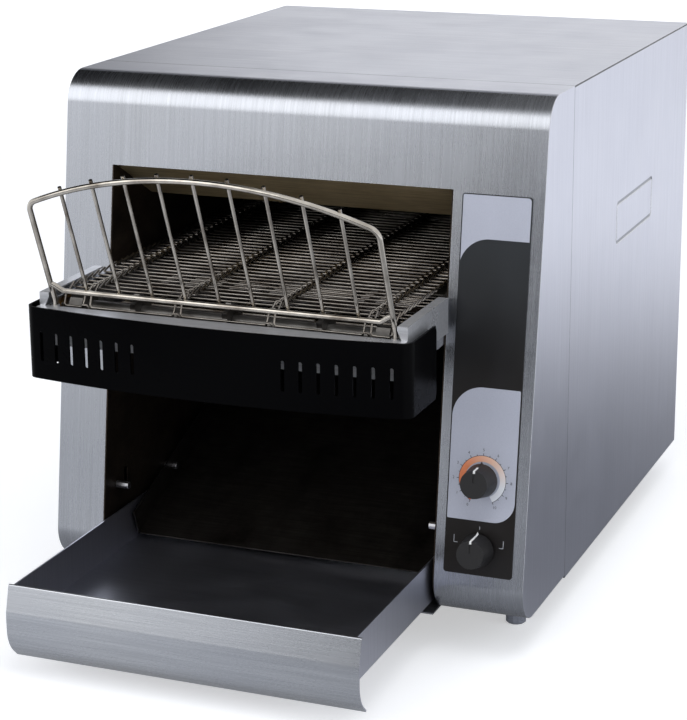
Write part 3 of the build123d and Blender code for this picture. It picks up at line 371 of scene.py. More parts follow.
overlay = {
    "x": 0.1502,
    "width": 0.0505,
    "bottom": 0.037,
    "top": 0.302,
    "speedHeight": 0.105,
    "powerHeight": 0.0556,
    "thickness": 0.0006,
    "corner": 0.0022,
    "spindleHole": 0.005,
    "border": 0.0008,
    "topAreaBottom": 0.24,
    "waveBottom": 0.1,
    "waveTop": 0.2715,
    "lowAreaBottom": 0.0757,
    "lowAreaTop": 0.1695,
    "ringInside": 0.0128,
    "ringOutside": 0.017,
    "rimOutside": 0.01735,
    "tickEnd": 0.0182,
    "longTick": 0.0007,
    "lineHalf": 0.00022,
    # leader lines of the lower knob: place, from and to
    "uprights": ((-0.0185, 0.0035, 0.0088), (0.0178, 0.0028, 0.0082), (0.0, 0.0142, 0.0165)),
    "levels": ((0.0035, -0.0185, -0.0158), (0.0028, 0.0148, 0.0178)),
    "sweep": math.radians(152),
    "tickStep": math.radians(15.2),
    "ringTones": (
        (0.0, rgb(222, 108, 62)),
        (0.32, rgb(236, 142, 96)),
        (0.6, rgb(240, 200, 176)),
        (0.85, rgb(238, 240, 244)),
    ),
    "silver": rgb(180, 183, 196),
    "black": rgb(22, 18, 16),
    "charcoal": rgb(40, 43, 46),
}


# the leaning face below the overlay, and what turns its own x, y and outward z into the frame's
faceFoot = (overlay["x"], toaster["faceFootY"], toaster["baseZ"])
faceTurn = (math.pi / 2 - toaster["lean"], 0, 0)


def onFace(up, out, across=0.0):
    # a place on the leaning face: up it, out of it and across it
    return Vector(faceFoot) + Euler(faceTurn).to_matrix() @ Vector((across, up, out))


def upFace(height):
    return height / math.cos(toaster["lean"])


def roundedBox(across, up, left, right, low, high, radii):
    # 1 inside a box with its own radius at each corner: low left, low right, high left, high right
    inside = (across > left) * (across < right) * (up > low) * (up < high)
    for (sideX, sideY), radius in zip(((-1, -1), (1, -1), (-1, 1), (1, 1)), radii):
        cornerX = left + radius if sideX < 0 else right - radius
        cornerY = low + radius if sideY < 0 else high - radius
        dx = (across - cornerX) * sideX
        dy = (up - cornerY) * sideY
        reach = (dx * dx + dy * dy).math("SQRT")
        cut = (dx > 0) * (dy > 0) * (reach > radius)
        inside = inside * (1 - cut)
    return inside


def printedOverlay():
    finish = Finish("controlOverlay", Specular_IOR_Level=0.3)
    x, v, _ = finish.axes(finish.place(faceFoot, faceTurn))
    half = overlay["width"] / 2
    line = overlay["lineHalf"]
    grain = finish.noise((1400, 1400, 1400), 2.0)
    cloud = finish.noise((30, 12, 12), 2.0)
    dark = finish.mix(finish.range(v, 0.16, 0.27), overlay["black"], overlay["charcoal"])
    silver = finish.mix(finish.range(grain, 0.3, 0.7, 0.0, 0.3), overlay["silver"], rgb(204, 206, 216))
    border = overlay["border"]
    wide = half - border
    low, high = upFace(overlay["topAreaBottom"]), upFace(overlay["top"]) - border
    topArea = roundedBox(x, v, -wide, wide, low, high, (0.0001, 0.0001, 0.0012, 0.0024))
    # the dark wave runs off the right edge
    low, high = upFace(overlay["waveBottom"]), upFace(overlay["waveTop"])
    waveCut = roundedBox(x, v, -half, half + 0.02, low, high, (0.0001, 0.0001, 0.0215, 0.0001))
    low, high = upFace(overlay["lowAreaBottom"]), upFace(overlay["lowAreaTop"])
    lowArea = roundedBox(x, v, -wide, wide, low, high, (0.001, 0.0155, 0.022, 0.001))
    silverMask = (topArea * (1 - waveCut) + lowArea).math("MINIMUM", 1.0)
    tone = finish.mix(silverMask, dark, silver)

    # dial ring from orange to white, with a tick for each half step
    dx = x
    dy = v - upFace(overlay["speedHeight"])
    reach = (dx * dx + dy * dy).math("SQRT")
    turn = finish.node("ShaderNodeMath", {"operation": "ARCTAN2"}, [dx, dy])
    sweep = overlay["sweep"]
    inSweep = abs(turn) < sweep
    ringMask = (reach > overlay["ringInside"]) * (reach < overlay["ringOutside"]) * inSweep
    place = finish.range(turn, -sweep, sweep)
    ringTone = finish.node("ShaderNodeValToRGB", {"stops": overlay["ringTones"]}, [place])
    tone = finish.mix(ringMask, tone, ringTone)
    rim = (reach > overlay["ringOutside"]) * (reach < overlay["rimOutside"]) * inSweep
    step = overlay["tickStep"]
    whole = turn / step
    nearest = abs(whole - whole.math("ROUND")) * step * reach
    halfStep = whole / 2
    major = abs(halfStep - halfStep.math("ROUND")) < 0.26
    longer = overlay["tickEnd"] + major * overlay["longTick"]
    tick = (nearest < line) * (reach > overlay["ringOutside"]) * (reach - longer < 0)
    tick = tick * (abs(turn) < sweep + 0.02)
    tone = finish.mix((rim + tick).math("MINIMUM", 1.0), tone, rgb(40, 40, 44))

    # leader lines round the lower knob
    py = v - upFace(overlay["powerHeight"])
    leaders = 0.0
    for across, low, high in overlay["uprights"]:
        leaders = leaders + (abs(x - across) < line) * (py > low) * (py < high)
    for height, left, right in overlay["levels"]:
        leaders = leaders + (abs(py - height) < line) * (x > left) * (x < right)
    tone = finish.mix(leaders.math("MINIMUM", 1.0), tone, rgb(176, 178, 184))
    haze = finish.range(cloud, 0.4, 0.8, 0.0, 0.08)
    finish.put("Base Color", finish.mix(haze, tone, rgb(90, 92, 98)))
    finish.put("Roughness", finish.range(grain, 0.3, 0.7, 0.3, 0.38) + silverMask * 0.06)
    finish.bump(grain, 0.05, 0.0001)
    return finish.material


def pointedKnob(name, height, lineFrom):
    # black knob whose nose carries a white line, from some way out on its edge onto its front
    finish = Finish(name)
    x, v, out = finish.axes(finish.place(faceFoot, faceTurn))
    up = v - upFace(height)
    skin = finish.noise((1600, 1600, 1600), 2.0)
    mark = (abs(x) < 0.0008) * (up > 0.0078) * (out > lineFrom)
    body = finish.mix(finish.range(skin, 0.3, 0.7), rgb(20, 20, 22), rgb(30, 29, 30))
    finish.put("Base Color", finish.mix(mark, body, rgb(238, 238, 236)))
    finish.put("Roughness", finish.range(skin, 0.3, 0.7, 0.46, 0.58))
    finish.bump(skin, 0.1, 0.0002)
    return finish.material


overlayFilm = printedOverlay()
speedKnobPlastic = pointedKnob("speedKnobPlastic", overlay["speedHeight"], 0.0125)
powerKnobPlastic = pointedKnob("powerKnobPlastic", overlay["powerHeight"], 0.0045)
print("finishes: overlay and knobs done")


def link(thing):
    bpy.context.scene.collection.objects.link(thing)
    return thing


def active():
    return bpy.context.view_layer.objects.active


def alone(thing):
    bpy.ops.object.select_all(action="DESELECT")
    thing.hide_set(False)
    thing.select_set(True)
    bpy.context.view_layer.objects.active = thing


def applyModifiers(thing):
    alone(thing)
    for modifier in list(thing.modifiers):
        bpy.ops.object.modifier_apply(modifier=modifier.name)


def settle(thing, body, standsFor=()):
    # the place goes into the mesh, and the piece rides on its body
    alone(thing)
    bpy.ops.object.transform_apply(location=True, rotation=True, scale=True)
    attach(thing, body)
    if standsFor:
        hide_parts(*standsFor)
    return thing


def smoothCurves(thing, angle):
    # curves shade smoothly and large flat faces keep one even tone right up to their edges
    alone(thing)
    bpy.ops.object.shade_smooth_by_angle(angle=math.radians(angle))
    weigh = thing.modifiers.new("evenFaces", "WEIGHTED_NORMAL")
    weigh.weight = 50
    weigh.keep_sharp = True
    applyModifiers(thing)


# how near points join, how flat faces merge, and how thin a sliver is
cleaning = {"join": 0.00001, "flat": math.radians(0.6), "sliver": 0.000003}


def softenEdges(thing, width, angle=40, edgeMaterial=None):
    bevel = thing.modifiers.new("edge", "BEVEL")
    bevel.width = width
    bevel.segments = 2
    bevel.limit_method = "ANGLE"
    bevel.angle_limit = math.radians(angle)
    bevel.use_clamp_overlap = True
    if edgeMaterial is not None:
        bevel.material = edgeMaterial
    applyModifiers(thing)
    # slivers that the clamped bevel leaves behind go
    bpy.ops.object.mode_set(mode="EDIT")
    bpy.ops.mesh.select_mode(type="VERT")
    bpy.ops.mesh.select_all(action="SELECT")
    bpy.ops.mesh.remove_doubles(threshold=cleaning["sliver"])
    bpy.ops.mesh.dissolve_degenerate(threshold=cleaning["sliver"])
    bpy.ops.object.mode_set(mode="OBJECT")


def dress(node, body, pieceName, materials, width=0.0003, smooth=26, paint=None):
    # a node's own shape with joined faces, softened edges and smooth curves
    source = nodes[node]
    piece = source.copy()
    piece.data = source.data.copy()
    piece.name = pieceName
    piece.parent = None
    piece.matrix_world = Matrix.Identity(4)
    for key in list(piece.keys()):
        del piece[key]
    link(piece)
    piece.data.materials.clear()
    for material in materials:
        piece.data.materials.append(material)
    for face in piece.data.polygons:
        face.material_index = 0
    alone(piece)
    bpy.ops.object.mode_set(mode="EDIT")
    bpy.ops.mesh.select_all(action="SELECT")
    bpy.ops.mesh.remove_doubles(threshold=cleaning["join"])
    bpy.ops.mesh.dissolve_limited(angle_limit=cleaning["flat"])
    bpy.ops.object.mode_set(mode="OBJECT")
    if width:
        edge = materials.index(edgeSteel) if edgeSteel in materials else -1
        softenEdges(piece, width, edgeMaterial=edge)
    if paint:
        paint(piece.data)
    smoothCurves(piece, smooth)
    return settle(piece, body, [node])


# half a sheet either side of a seam, and how deep the panels' frame is pressed
marks = {"seamHalf": 0.0006, "pressed": 0.0006, "slack": 0.0001}
trough = {"hemBottom": 0.2405, "innerHalf": 0.1315}


def atSeam(face):
    return abs(face.center.y - toaster["seamY"]) < marks["seamHalf"]


def paintBezel(mesh):
    # painted light: side walls and top strip take the lighter tones of the side panels and top, and
    # painted shade puts a dark line where these meet it
    for face in mesh.polygons:
        if atSeam(face):
            face.material_index = 3
        elif abs(face.normal.x) > 0.8:
            face.material_index = 1
        elif face.normal.z > 0.98:
            face.material_index = 4


def paintCover(mesh):
    # painted shade: the cover's turned-down sides and its edge at the seam are painted dark for the
    # shadow they lie in
    for face in mesh.polygons:
        if atSeam(face) or abs(face.normal.x) > 0.5:
            face.material_index = 2


def paintPanel(mesh):
    # painted shade: dark where the panel meets the bezel, and darker down in its pressed frame
    outer = max(abs(vertex.co.x) for vertex in mesh.vertices)
    for face in mesh.polygons:
        depth = outer - abs(face.center.x)
        if atSeam(face):
            face.material_index = 2
        elif abs(depth - marks["pressed"]) < marks["slack"] and abs(face.normal.x) > 0.9:
            face.material_index = 3


def paintTrough(mesh):
    # bright outside and hem, browned inside
    for face in mesh.polygons:
        fromMiddle = abs(face.center.x - toaster["laneX"])
        if face.center.z < trough["hemBottom"] and fromMiddle < trough["innerHalf"]:
            face.material_index = 1 if face.normal.y > -0.5 else 2


def arcPoints(centre, radius, start, end, count):
    angles = [math.radians(start + (end - start) * i / count) for i in range(count + 1)]
    return [(centre[0] + radius * math.cos(a), centre[1] + radius * math.sin(a)) for a in angles]


def bentWire(name, points, radius, sides=3):
    # a round wire through the points, capped at both ends
    curve = bpy.data.curves.new(name, "CURVE")
    curve.dimensions = "3D"
    curve.bevel_depth = radius
    curve.bevel_resolution = sides
    curve.use_fill_caps = True
    run = curve.splines.new("POLY")
    run.points.add(len(points) - 1)
    for point, place in zip(run.points, points):
        point.co = (*place, 1.0)
    wire = bpy.data.objects.new(name, curve)
    link(wire)
    alone(wire)
    bpy.ops.object.convert(target="MESH")
    return active()


def joinAll(parts, name):
    bpy.ops.object.select_all(action="DESELECT")
    for part in parts:
        part.select_set(True)
    bpy.context.view_layer.objects.active = parts[0]
    if len(parts) > 1:
        bpy.ops.object.join()
    parts[0].name = name
    return parts[0]


bezelSteels = [shadedFaceSteel, litSideSteel, edgeSteel, seamShadowSteel, litTopSteel]
coverSteels = [litTopSteel, edgeSteel, seamShadowSteel]
panelSteels = [litSideSteel, edgeSteel, seamShadowSteel, grooveShadeSteel]
troughSteels = [hemSteel, crumbSteel, galvanised, edgeSteel]
dress("front_bezel", "casing", "bezel", bezelSteels, paint=paintBezel)
dress("top_cover", "casing", "topCover", coverSteels, paint=paintCover)
dress("left_panel", "casing", "leftPanel", panelSteels, paint=paintPanel)
dress("right_panel", "casing", "rightPanel", panelSteels, paint=paintPanel)
dress("rear_panel", "casing", "rearPanel", [plainSteel, edgeSteel], 0.0002)
dress("base_pan", "casing", "basePan", [plainSteel, edgeSteel], 0.0002)
dress("entry_baffle", "casing", "entryBaffle", [baffleSheet], 0.0002)
dress("left_liner", "casing", "leftLiner", [tunnelSteel], 0.0002)
dress("right_liner", "casing", "rightLiner", [tunnelSteel], 0.0002)
dress("toast_slide", "casing", "toastSlide", [slideSteel], 0.0)
dress("left_arm", "casing", "leftArm", [armSteel, edgeSteel])
dress("right_arm", "casing", "rightArm", [armSteel, edgeSteel])
dress("front_trough", "casing", "frontTrough", troughSteels, 0.0002, paint=paintTrough)
print("sheet metal dressed")

for corner in ("front_left", "front_right", "rear_left", "rear_right"):
    footNode = "foot_" + corner
    dress(footNode, footNode + "_body", "levellingFoot_" + corner, [footSteel], 0.0006)
dress("foot_sleeves", "casing", "footSleeves", [plainSteel, edgeSteel])
dress("speed_knob", "speed_dial", "speedKnob", [speedKnobPlastic], 0.0007, 30)
dress("power_knob", "power_dial", "powerKnob", [powerKnobPlastic], 0.0007, 30)
dress("cord_gland", "casing", "cordGland", [blackPlastic], 0.0006, 35)
dress("panel_screws", "casing", "panelScrews", [screwSteel], 0.0005, 30)
dress("idler_shaft", "idler", "frontShaft", [oiledSteel], 0.0004)
dress("slide_pins", "casing", "slidePins", [armSteel], 0.0004, 50)
print("turned parts dressed")

guard = {
    "halfWidth": 0.143,
    "bottom": 0.1988,
    "top": 0.2503,
    "bowRadius": 0.858,
    "bowCentreY": 0.615,
    "wingEndY": -0.181,
    "corner": 0.008,
    "endCut": 0.004,
    "thickness": 0.0015,
    "slotFirst": 0.0558,
    "slotPitch": 0.0124,
    "slots": 7,
    "slotWidth": 0.0028,
    "slotLow": 0.2118,
    "slotHigh": 0.2333,
    "cutterY": -0.235,
    "cutterDepth": 0.04,
    "slack": 0.00001,
}


def slotCutter():
    # rounded pegs, one for each slot, joined into one cutter
    g = guard
    radius = g["slotWidth"] / 2
    pegs = []
    for side in (-1, 1):
        for i in range(g["slots"]):
            x = toaster["laneX"] + side * (g["slotFirst"] + i * g["slotPitch"])
            bpy.ops.object.select_all(action="DESELECT")
            bpy.ops.mesh.primitive_cylinder_add(
                vertices=16,
                radius=radius,
                depth=g["cutterDepth"],
                location=(x, g["cutterY"], g["slotLow"] + radius),
                rotation=(math.pi / 2, 0, 0),
            )
            peg = active()
            alone(peg)
            bpy.ops.object.transform_apply(location=True, rotation=True, scale=True)
            for vertex in peg.data.vertices:
                if vertex.co.z > g["slotLow"] + radius - g["slack"]:
                    vertex.co.z += g["slotHigh"] - g["slotLow"] - 2 * radius
            pegs.append(peg)
    return joinAll(pegs, "slotCutter")


def bowedGuard():
    g = guard
    inner = g["bowRadius"] - g["corner"]
    filletX = g["halfWidth"] - g["corner"]
    filletY = g["bowCentreY"] - math.sqrt(inner**2 - filletX**2)
    endAngle = math.degrees(math.atan2(g["bowCentreY"] - filletY, filletX))
    fillet = arcPoints((filletX, filletY), g["corner"], 0, -endAngle, 8)
    bowSteps = 28
    across = [fillet[-1][0] * i / bowSteps for i in range(1, bowSteps)]
    rightHalf = [(x, g["bowCentreY"] - math.sqrt(g["bowRadius"] ** 2 - x * x)) for x in across]
    rightHalf += fillet[::-1] + [(g["halfWidth"], g["wingEndY"] - g["endCut"])]
    rightHalf += [(g["halfWidth"], g["wingEndY"])]
    middle = [(0.0, g["bowCentreY"] - g["bowRadius"])]
    plan = [(-x, y) for x, y in rightHalf[::-1]] + middle + rightHalf
    mesh = bpy.data.meshes.new("burnGuard")
    points = [(toaster["laneX"] + x, y, g["bottom"]) for x, y in plan]
    mesh.from_pydata(points, [(i, i + 1) for i in range(len(points) - 1)], [])
    piece = bpy.data.objects.new("burnGuard", mesh)
    link(piece)
    alone(piece)
    bpy.ops.object.mode_set(mode="EDIT")
    bpy.ops.mesh.select_all(action="SELECT")
    levels = [g["bottom"], g["bottom"] + g["endCut"], g["top"] - g["endCut"], g["top"]]
    for low, high in zip(levels, levels[1:]):
        bpy.ops.mesh.extrude_region_move(TRANSFORM_OT_translate={"value": (0, 0, high - low)})
    bpy.ops.mesh.select_all(action="SELECT")
    bpy.ops.mesh.normals_make_consistent(inside=False)
    bpy.ops.object.mode_set(mode="OBJECT")
    for vertex in piece.data.vertices:  # the wing ends lose their corners
        atEnd = abs(vertex.co.y - g["wingEndY"]) < g["slack"]
        atRim = vertex.co.z < g["bottom"] + g["slack"] or vertex.co.z > g["top"] - g["slack"]
        if atEnd and atRim:
            vertex.co.y -= g["endCut"] / 2
    front = min(piece.data.polygons, key=lambda face: face.center.y)
    if front.normal.y > 0:
        piece.data.flip_normals()
    wall = piece.modifiers.new("wall", "SOLIDIFY")
    wall.thickness = g["thickness"]
    wall.offset = -1
    cutter = slotCutter()
    cut = piece.modifiers.new("slots", "BOOLEAN")
    cut.object = cutter
    applyModifiers(piece)
    bpy.data.objects.remove(cutter)
    softenEdges(piece, 0.0003, 50)
    smoothCurves(piece, 30)
    piece.data.materials.clear()
    piece.data.materials.append(blackEnamel)
    return settle(piece, "casing", ["burn_guard"])


bowedGuard()
print("guard made")

tray = {
    "frontY": -0.298,
    "rearY": 0.062,
    "floorZ": 0.0355,
    "topZ": 0.067,
    "halfWidth": 0.128,
    "lipHalfWidth": 0.1315,
    "sheet": 0.0012,
    "lean": 0.0055,
    "bendTop": 0.0435,
    "curlTop": 0.0345,
    "curlRadius": 0.026,
    "curlTurn": 46,
    "lipBottom": 0.0115,
    "hem": 0.0011,
    "hemInset": 0.0002,
    "bendRadius": 0.03,
    "endGap": 0.0012,
    "lipDepth": 0.02,
}


def trayLip():
    # the front in section, from its folded top edge down to the curl under it
    t = tray
    slope = math.degrees(math.atan2(t["lean"], t["topZ"] - t["bendTop"]))
    hemY = t["frontY"] + t["lean"] - t["hemInset"]
    hemZ = t["topZ"] - t["hem"]
    outline = arcPoints((hemY + t["hem"], hemZ), t["hem"], -20, 180 - slope, 8)
    bend, curl = t["bendRadius"], t["curlRadius"]
    outline += arcPoints((t["frontY"] + bend, t["bendTop"]), bend, 180 - slope * 0.8, 180, 4)
    outline += arcPoints((t["frontY"] + curl, t["curlTop"]), curl, 180, 180 + t["curlTurn"], 10)
    endY, endZ = outline[-1]
    tangent = math.radians(t["curlTurn"])
    run = (endZ - t["lipBottom"]) / math.cos(tangent)
    outline.append((endY + run * math.sin(tangent), t["lipBottom"]))
    return outline


def trayBox():
    t = tray
    outline = trayLip()
    mesh = bpy.data.meshes.new("trayLip")
    left = toaster["laneX"] - t["lipHalfWidth"]
    edges = [(i, i + 1) for i in range(len(outline) - 1)]
    mesh.from_pydata([(left, y, z) for y, z in outline], edges, [])
    lip = bpy.data.objects.new("trayLip", mesh)
    link(lip)
    alone(lip)
    bpy.ops.object.mode_set(mode="EDIT")
    bpy.ops.mesh.select_all(action="SELECT")
    width = 2 * t["lipHalfWidth"]
    bpy.ops.mesh.extrude_region_move(TRANSFORM_OT_translate={"value": (width, 0, 0)})
    bpy.ops.object.mode_set(mode="OBJECT")
    front = min(lip.data.polygons, key=lambda face: face.center.y)
    if front.normal.y > 0:
        lip.data.flip_normals()

    # floor and side walls, open at the front and the back
    bpy.ops.object.select_all(action="DESELECT")
    bpy.ops.mesh.primitive_cube_add(
        size=1,
        location=(toaster["laneX"], (t["frontY"] + t["rearY"]) / 2, (t["floorZ"] + t["topZ"]) / 2),
        scale=(
            2 * t["halfWidth"],
            t["rearY"] - t["frontY"] - 2 * t["endGap"],
            t["topZ"] - t["floorZ"],
        ),
    )
    channel = active()
    alone(channel)
    bpy.ops.object.transform_apply(location=True, rotation=True, scale=True)
    for vertex in channel.data.vertices:
        if vertex.co.y < 0:
            vertex.co.y += t["lean"] if vertex.co.z > t["floorZ"] + 0.001 else 0
    bpy.ops.object.mode_set(mode="EDIT")
    bpy.ops.mesh.select_mode(type="FACE")
    bpy.ops.mesh.select_all(action="DESELECT")
    bpy.ops.object.mode_set(mode="OBJECT")
    for face in channel.data.polygons:
        face.select = face.normal.z > 0.9 or abs(face.normal.y) > 0.8
    bpy.ops.object.mode_set(mode="EDIT")
    bpy.ops.mesh.delete(type="FACE")
    bpy.ops.mesh.select_mode(type="VERT")
    bpy.ops.object.mode_set(mode="OBJECT")
    for sheet in (lip, channel):
        wall = sheet.modifiers.new("sheet", "SOLIDIFY")
        wall.thickness = t["sheet"]
        wall.offset = -1
        applyModifiers(sheet)
    piece = joinAll([lip, channel], "trayBox")
    softenEdges(piece, 0.0003, 50)
    for material in (traySteel, litSideSteel):
        piece.data.materials.append(material)
    # painted light: the tray behind its front lip and its side walls take the lighter, bluer side tone
    # of the steel
    for face in piece.data.polygons:
        behind = face.center.y > t["frontY"] + t["lipDepth"]
        face.material_index = 1 if behind or abs(face.normal.x) > 0.7 else 0
    smoothCurves(piece, 32)
    return settle(piece, "tray", ["discharge_tray"])


trayBox()
print("tray made")

def overlayFilmPiece():
    low, high = upFace(overlay["bottom"]), upFace(overlay["top"])
    bpy.ops.object.select_all(action="DESELECT")
    bpy.ops.mesh.primitive_cube_add(
        size=1,
        location=onFace((low + high) / 2, overlay["thickness"] / 2),
        rotation=faceTurn,
        scale=(overlay["width"], high - low, overlay["thickness"]),
    )
    film = active()
    alone(film)
    bpy.ops.object.transform_apply(location=False, rotation=False, scale=True)
    corner = film.modifiers.new("corner", "BEVEL")
    corner.width = overlay["corner"]
    corner.segments = 5
    corner.limit_method = "WEIGHT"
    weights = film.data.attributes.new("bevel_weight_edge", "FLOAT", "EDGE")
    for edge in film.data.edges:
        first, second = (film.data.vertices[i].co for i in edge.vertices)
        if abs(first.z - second.z) > overlay["thickness"] / 2:
            weights.data[edge.index].value = 1.0
    cutters = []
    for height in (overlay["speedHeight"], overlay["powerHeight"]):
        bpy.ops.object.select_all(action="DESELECT")
        bpy.ops.mesh.primitive_cylinder_add(
            vertices=24,
            radius=overlay["spindleHole"],
            depth=0.01,
            location=onFace(upFace(height), 0),
            rotation=faceTurn,
        )
        cutters.append(bpy.context.view_layer.objects.active)
    cutter = joinAll(cutters, "spindleCutter")
    holes = film.modifiers.new("holes", "BOOLEAN")
    holes.object = cutter
    applyModifiers(film)
    bpy.data.objects.remove(cutter)
    film.name = "overlayFilm"
    film.data.materials.clear()
    film.data.materials.append(overlayFilm)
    return settle(film, "casing", ["control_overlay"])


overlayFilmPiece()
print("overlay made")

rack = {
    "halfWidth": 0.127,
    "footY": -0.2166,
    "footZ": 0.2515,
    "bottomZ": 0.233,
    "lean": math.radians(22),
    "archRadius": 0.307,
    "archCentre": -0.1975,
    "cornerRadius": 0.009,
    "rod": 0.002,
    "spoke": 0.00135,
    "spokes": 9,
    "spokePitch": 0.0253,
    "crossRod": 0.0097,
    # steps in from the leg and up from the cross rod, where it cranks up to be welded on
    "crank": ((0.0, 0.0058), (0.0035, 0.0040), (0.0065, 0.0016)),
    "weld": 0.0003,
    "spokeOver": 0.003,
    "spokeUnder": 0.0019,
}


def onRack(across, up, out=0.0):
    # a place on the leaning rack: across it, up it and out of its front
    lean = rack["lean"]
    return (
        toaster["laneX"] + across,
        rack["footY"] - up * math.sin(lean) - out * math.cos(lean),
        rack["footZ"] + up * math.cos(lean) - out * math.sin(lean),
    )


def wireRack():
    r = rack
    half = r["halfWidth"]
    cornerX = half - r["cornerRadius"]
    inner = r["archRadius"] - r["cornerRadius"]
    cornerV = r["archCentre"] + math.sqrt(inner**2 - cornerX**2)
    cornerAngle = math.degrees(math.acos(cornerX / inner))
    bend = r["cornerRadius"] * math.tan(r["lean"] / 2)
    foot = []
    for i in range(5):
        a = r["lean"] * i / 4
        foot.append((
            r["footY"] - r["cornerRadius"] * (1 - math.cos(a)),
            r["footZ"] - bend + r["cornerRadius"] * math.sin(a),
        ))
    leg = [(r["footY"], r["bottomZ"])] + foot
    left = [(toaster["laneX"] - half, y, z) for y, z in leg]
    right = [(toaster["laneX"] + half, y, z) for y, z in leg[::-1]]
    over = arcPoints((-cornerX, cornerV), r["cornerRadius"], 180, 180 - cornerAngle, 7)
    over += arcPoints((0, r["archCentre"]), r["archRadius"], 180 - cornerAngle, cornerAngle, 36)[1:]
    over += arcPoints((cornerX, cornerV), r["cornerRadius"], cornerAngle, 0, 7)[1:]
    parts = [bentWire("frameRod", left + [onRack(x, v) for x, v in over] + right, r["rod"], 4)]
    cross = r["crossRod"]
    crank = [(-half + x, cross + v) for x, v in r["crank"]] + [(-cornerX, cross)]
    crank += [(-x, v) for x, v in crank[::-1]]
    parts.append(bentWire("crossRod", [onRack(x, v) for x, v in crank], r["rod"], 4))
    behind = -(r["rod"] + r["spoke"] - r["weld"])
    for i in range(r["spokes"]):
        x = (i - (r["spokes"] - 1) / 2) * r["spokePitch"]
        end = r["archCentre"] + math.sqrt(r["archRadius"] ** 2 - x * x) + r["spokeOver"]
        ends = [onRack(x, cross - r["spokeUnder"], behind), onRack(x, end, behind)]
        parts.append(bentWire("spoke", ends, r["spoke"], 3))
    piece = joinAll(parts, "wireRack")
    bpy.ops.object.shade_smooth_by_angle(angle=math.radians(50))
    piece.data.materials.append(chrome)
    return settle(piece, "rack", ["wire_rack"])


wireRack()
print("rack made")

belt = {
    "frontY": -0.198,
    "pitch": 0.0091,
    "runPitches": 43,
    "wheelTeeth": 10,
    "wheelRadius": 0.01472,
    "wheelZ": 0.24328,
    "halfWidth": 0.1235,
    "wire": 0.0008,
    "lift": math.radians(13),
    "hook": 0.0116,
    "jointColumns": (-0.105, -0.035, 0.035, 0.105),
    "jointHalf": 0.0026,
    "turn": 0.0012,
    "splay": 0.0004,
}


def beltPins():
    b = belt
    rearY = b["frontY"] + b["runPitches"] * b["pitch"]
    radius = b["wheelRadius"]
    pins = [(b["frontY"] + i * b["pitch"], b["wheelZ"] + radius) for i in range(b["runPitches"])]
    step = 360 / b["wheelTeeth"]
    half = b["wheelTeeth"] // 2
    pins += arcPoints((rearY, b["wheelZ"]), radius, 90, 90 - half * step, half)[:-1]
    pins += [(rearY - i * b["pitch"], b["wheelZ"] - radius) for i in range(b["runPitches"])]
    pins += arcPoints((b["frontY"], b["wheelZ"]), radius, -90, -90 - half * step, half)[:-1]
    return pins


def wireBelt():
    b = belt
    turn, splay, hook = b["turn"], b["splay"], b["hook"]
    end = b["halfWidth"] - b["wire"]
    # one wire: straight across, hooked forward over the next wire at its ends and joints
    line = [(-end, hook), (-end, turn), (-end + turn, 0.0)]
    for column in b["jointColumns"]:
        near, far = column - b["jointHalf"], column + b["jointHalf"]
        line += [(near - turn, 0.0), (near, turn), (near + splay, hook - turn), (near + turn, hook)]
        line += [(far - turn, hook), (far - splay, hook - turn), (far, turn), (far + turn, 0.0)]
    line += [(end - turn, 0.0), (end, turn), (end, hook)]
    strand = bentWire("beltStrand", [(x, y, 0.0) for x, y in line], b["wire"], 2)
    bpy.ops.object.shade_smooth_by_angle(angle=math.radians(60))
    pins = beltPins()
    parts = [strand]
    for i, (y, z) in enumerate(pins):
        aheadY, aheadZ = pins[(i + 1) % len(pins)]
        climb = math.atan2(aheadZ - z, aheadY - y) + b["lift"]
        if i:
            part = strand.copy()
            part.data = strand.data.copy()
            link(part)
            parts.append(part)
        place = Matrix.Translation((toaster["laneX"], y, z))
        parts[i].matrix_world = place @ Matrix.Rotation(climb, 4, "X")
    for part in parts:
        alone(part)
        bpy.ops.object.transform_apply(location=True, rotation=True, scale=True)
    piece = joinAll(parts, "wireBelt")
    piece.data.materials.append(beltSteel)
    return settle(piece, "casing", ["conveyor_belt"])


wireBelt()
print("belt made")

dial = {"radius": 0.0212, "size": 0.0028, "sweep": 152, "depth": 0.00004, "gap": 0.00002}


def dialNumbers():
    ink = moulded("dialInk", rgb(44, 44, 48), rgb(56, 56, 60), 0.45, 1200)
    parts = []
    for number in range(11):
        angle = math.radians(-dial["sweep"] + number * dial["sweep"] * 2 / 10)
        across = dial["radius"] * math.sin(angle)
        up = upFace(overlay["speedHeight"]) + dial["radius"] * math.cos(angle)
        out = overlay["thickness"] + dial["gap"]
        bpy.ops.object.text_add(location=onFace(up, out, across), rotation=faceTurn)
        text = active()
        text.data.body = str(number)
        text.data.size = dial["size"]
        text.data.align_x = "CENTER"
        text.data.align_y = "CENTER"
        text.data.extrude = dial["depth"] / 2
        alone(text)
        bpy.ops.object.convert(target="MESH")
        text = active()
        alone(text)
        bpy.ops.object.transform_apply(location=True, rotation=True, scale=True)
        parts.append(text)
    piece = joinAll(parts, "dialNumbers")
    piece.data.materials.clear()
    piece.data.materials.append(ink)
    return settle(piece, "casing")


dialNumbers()
print("numbers made")

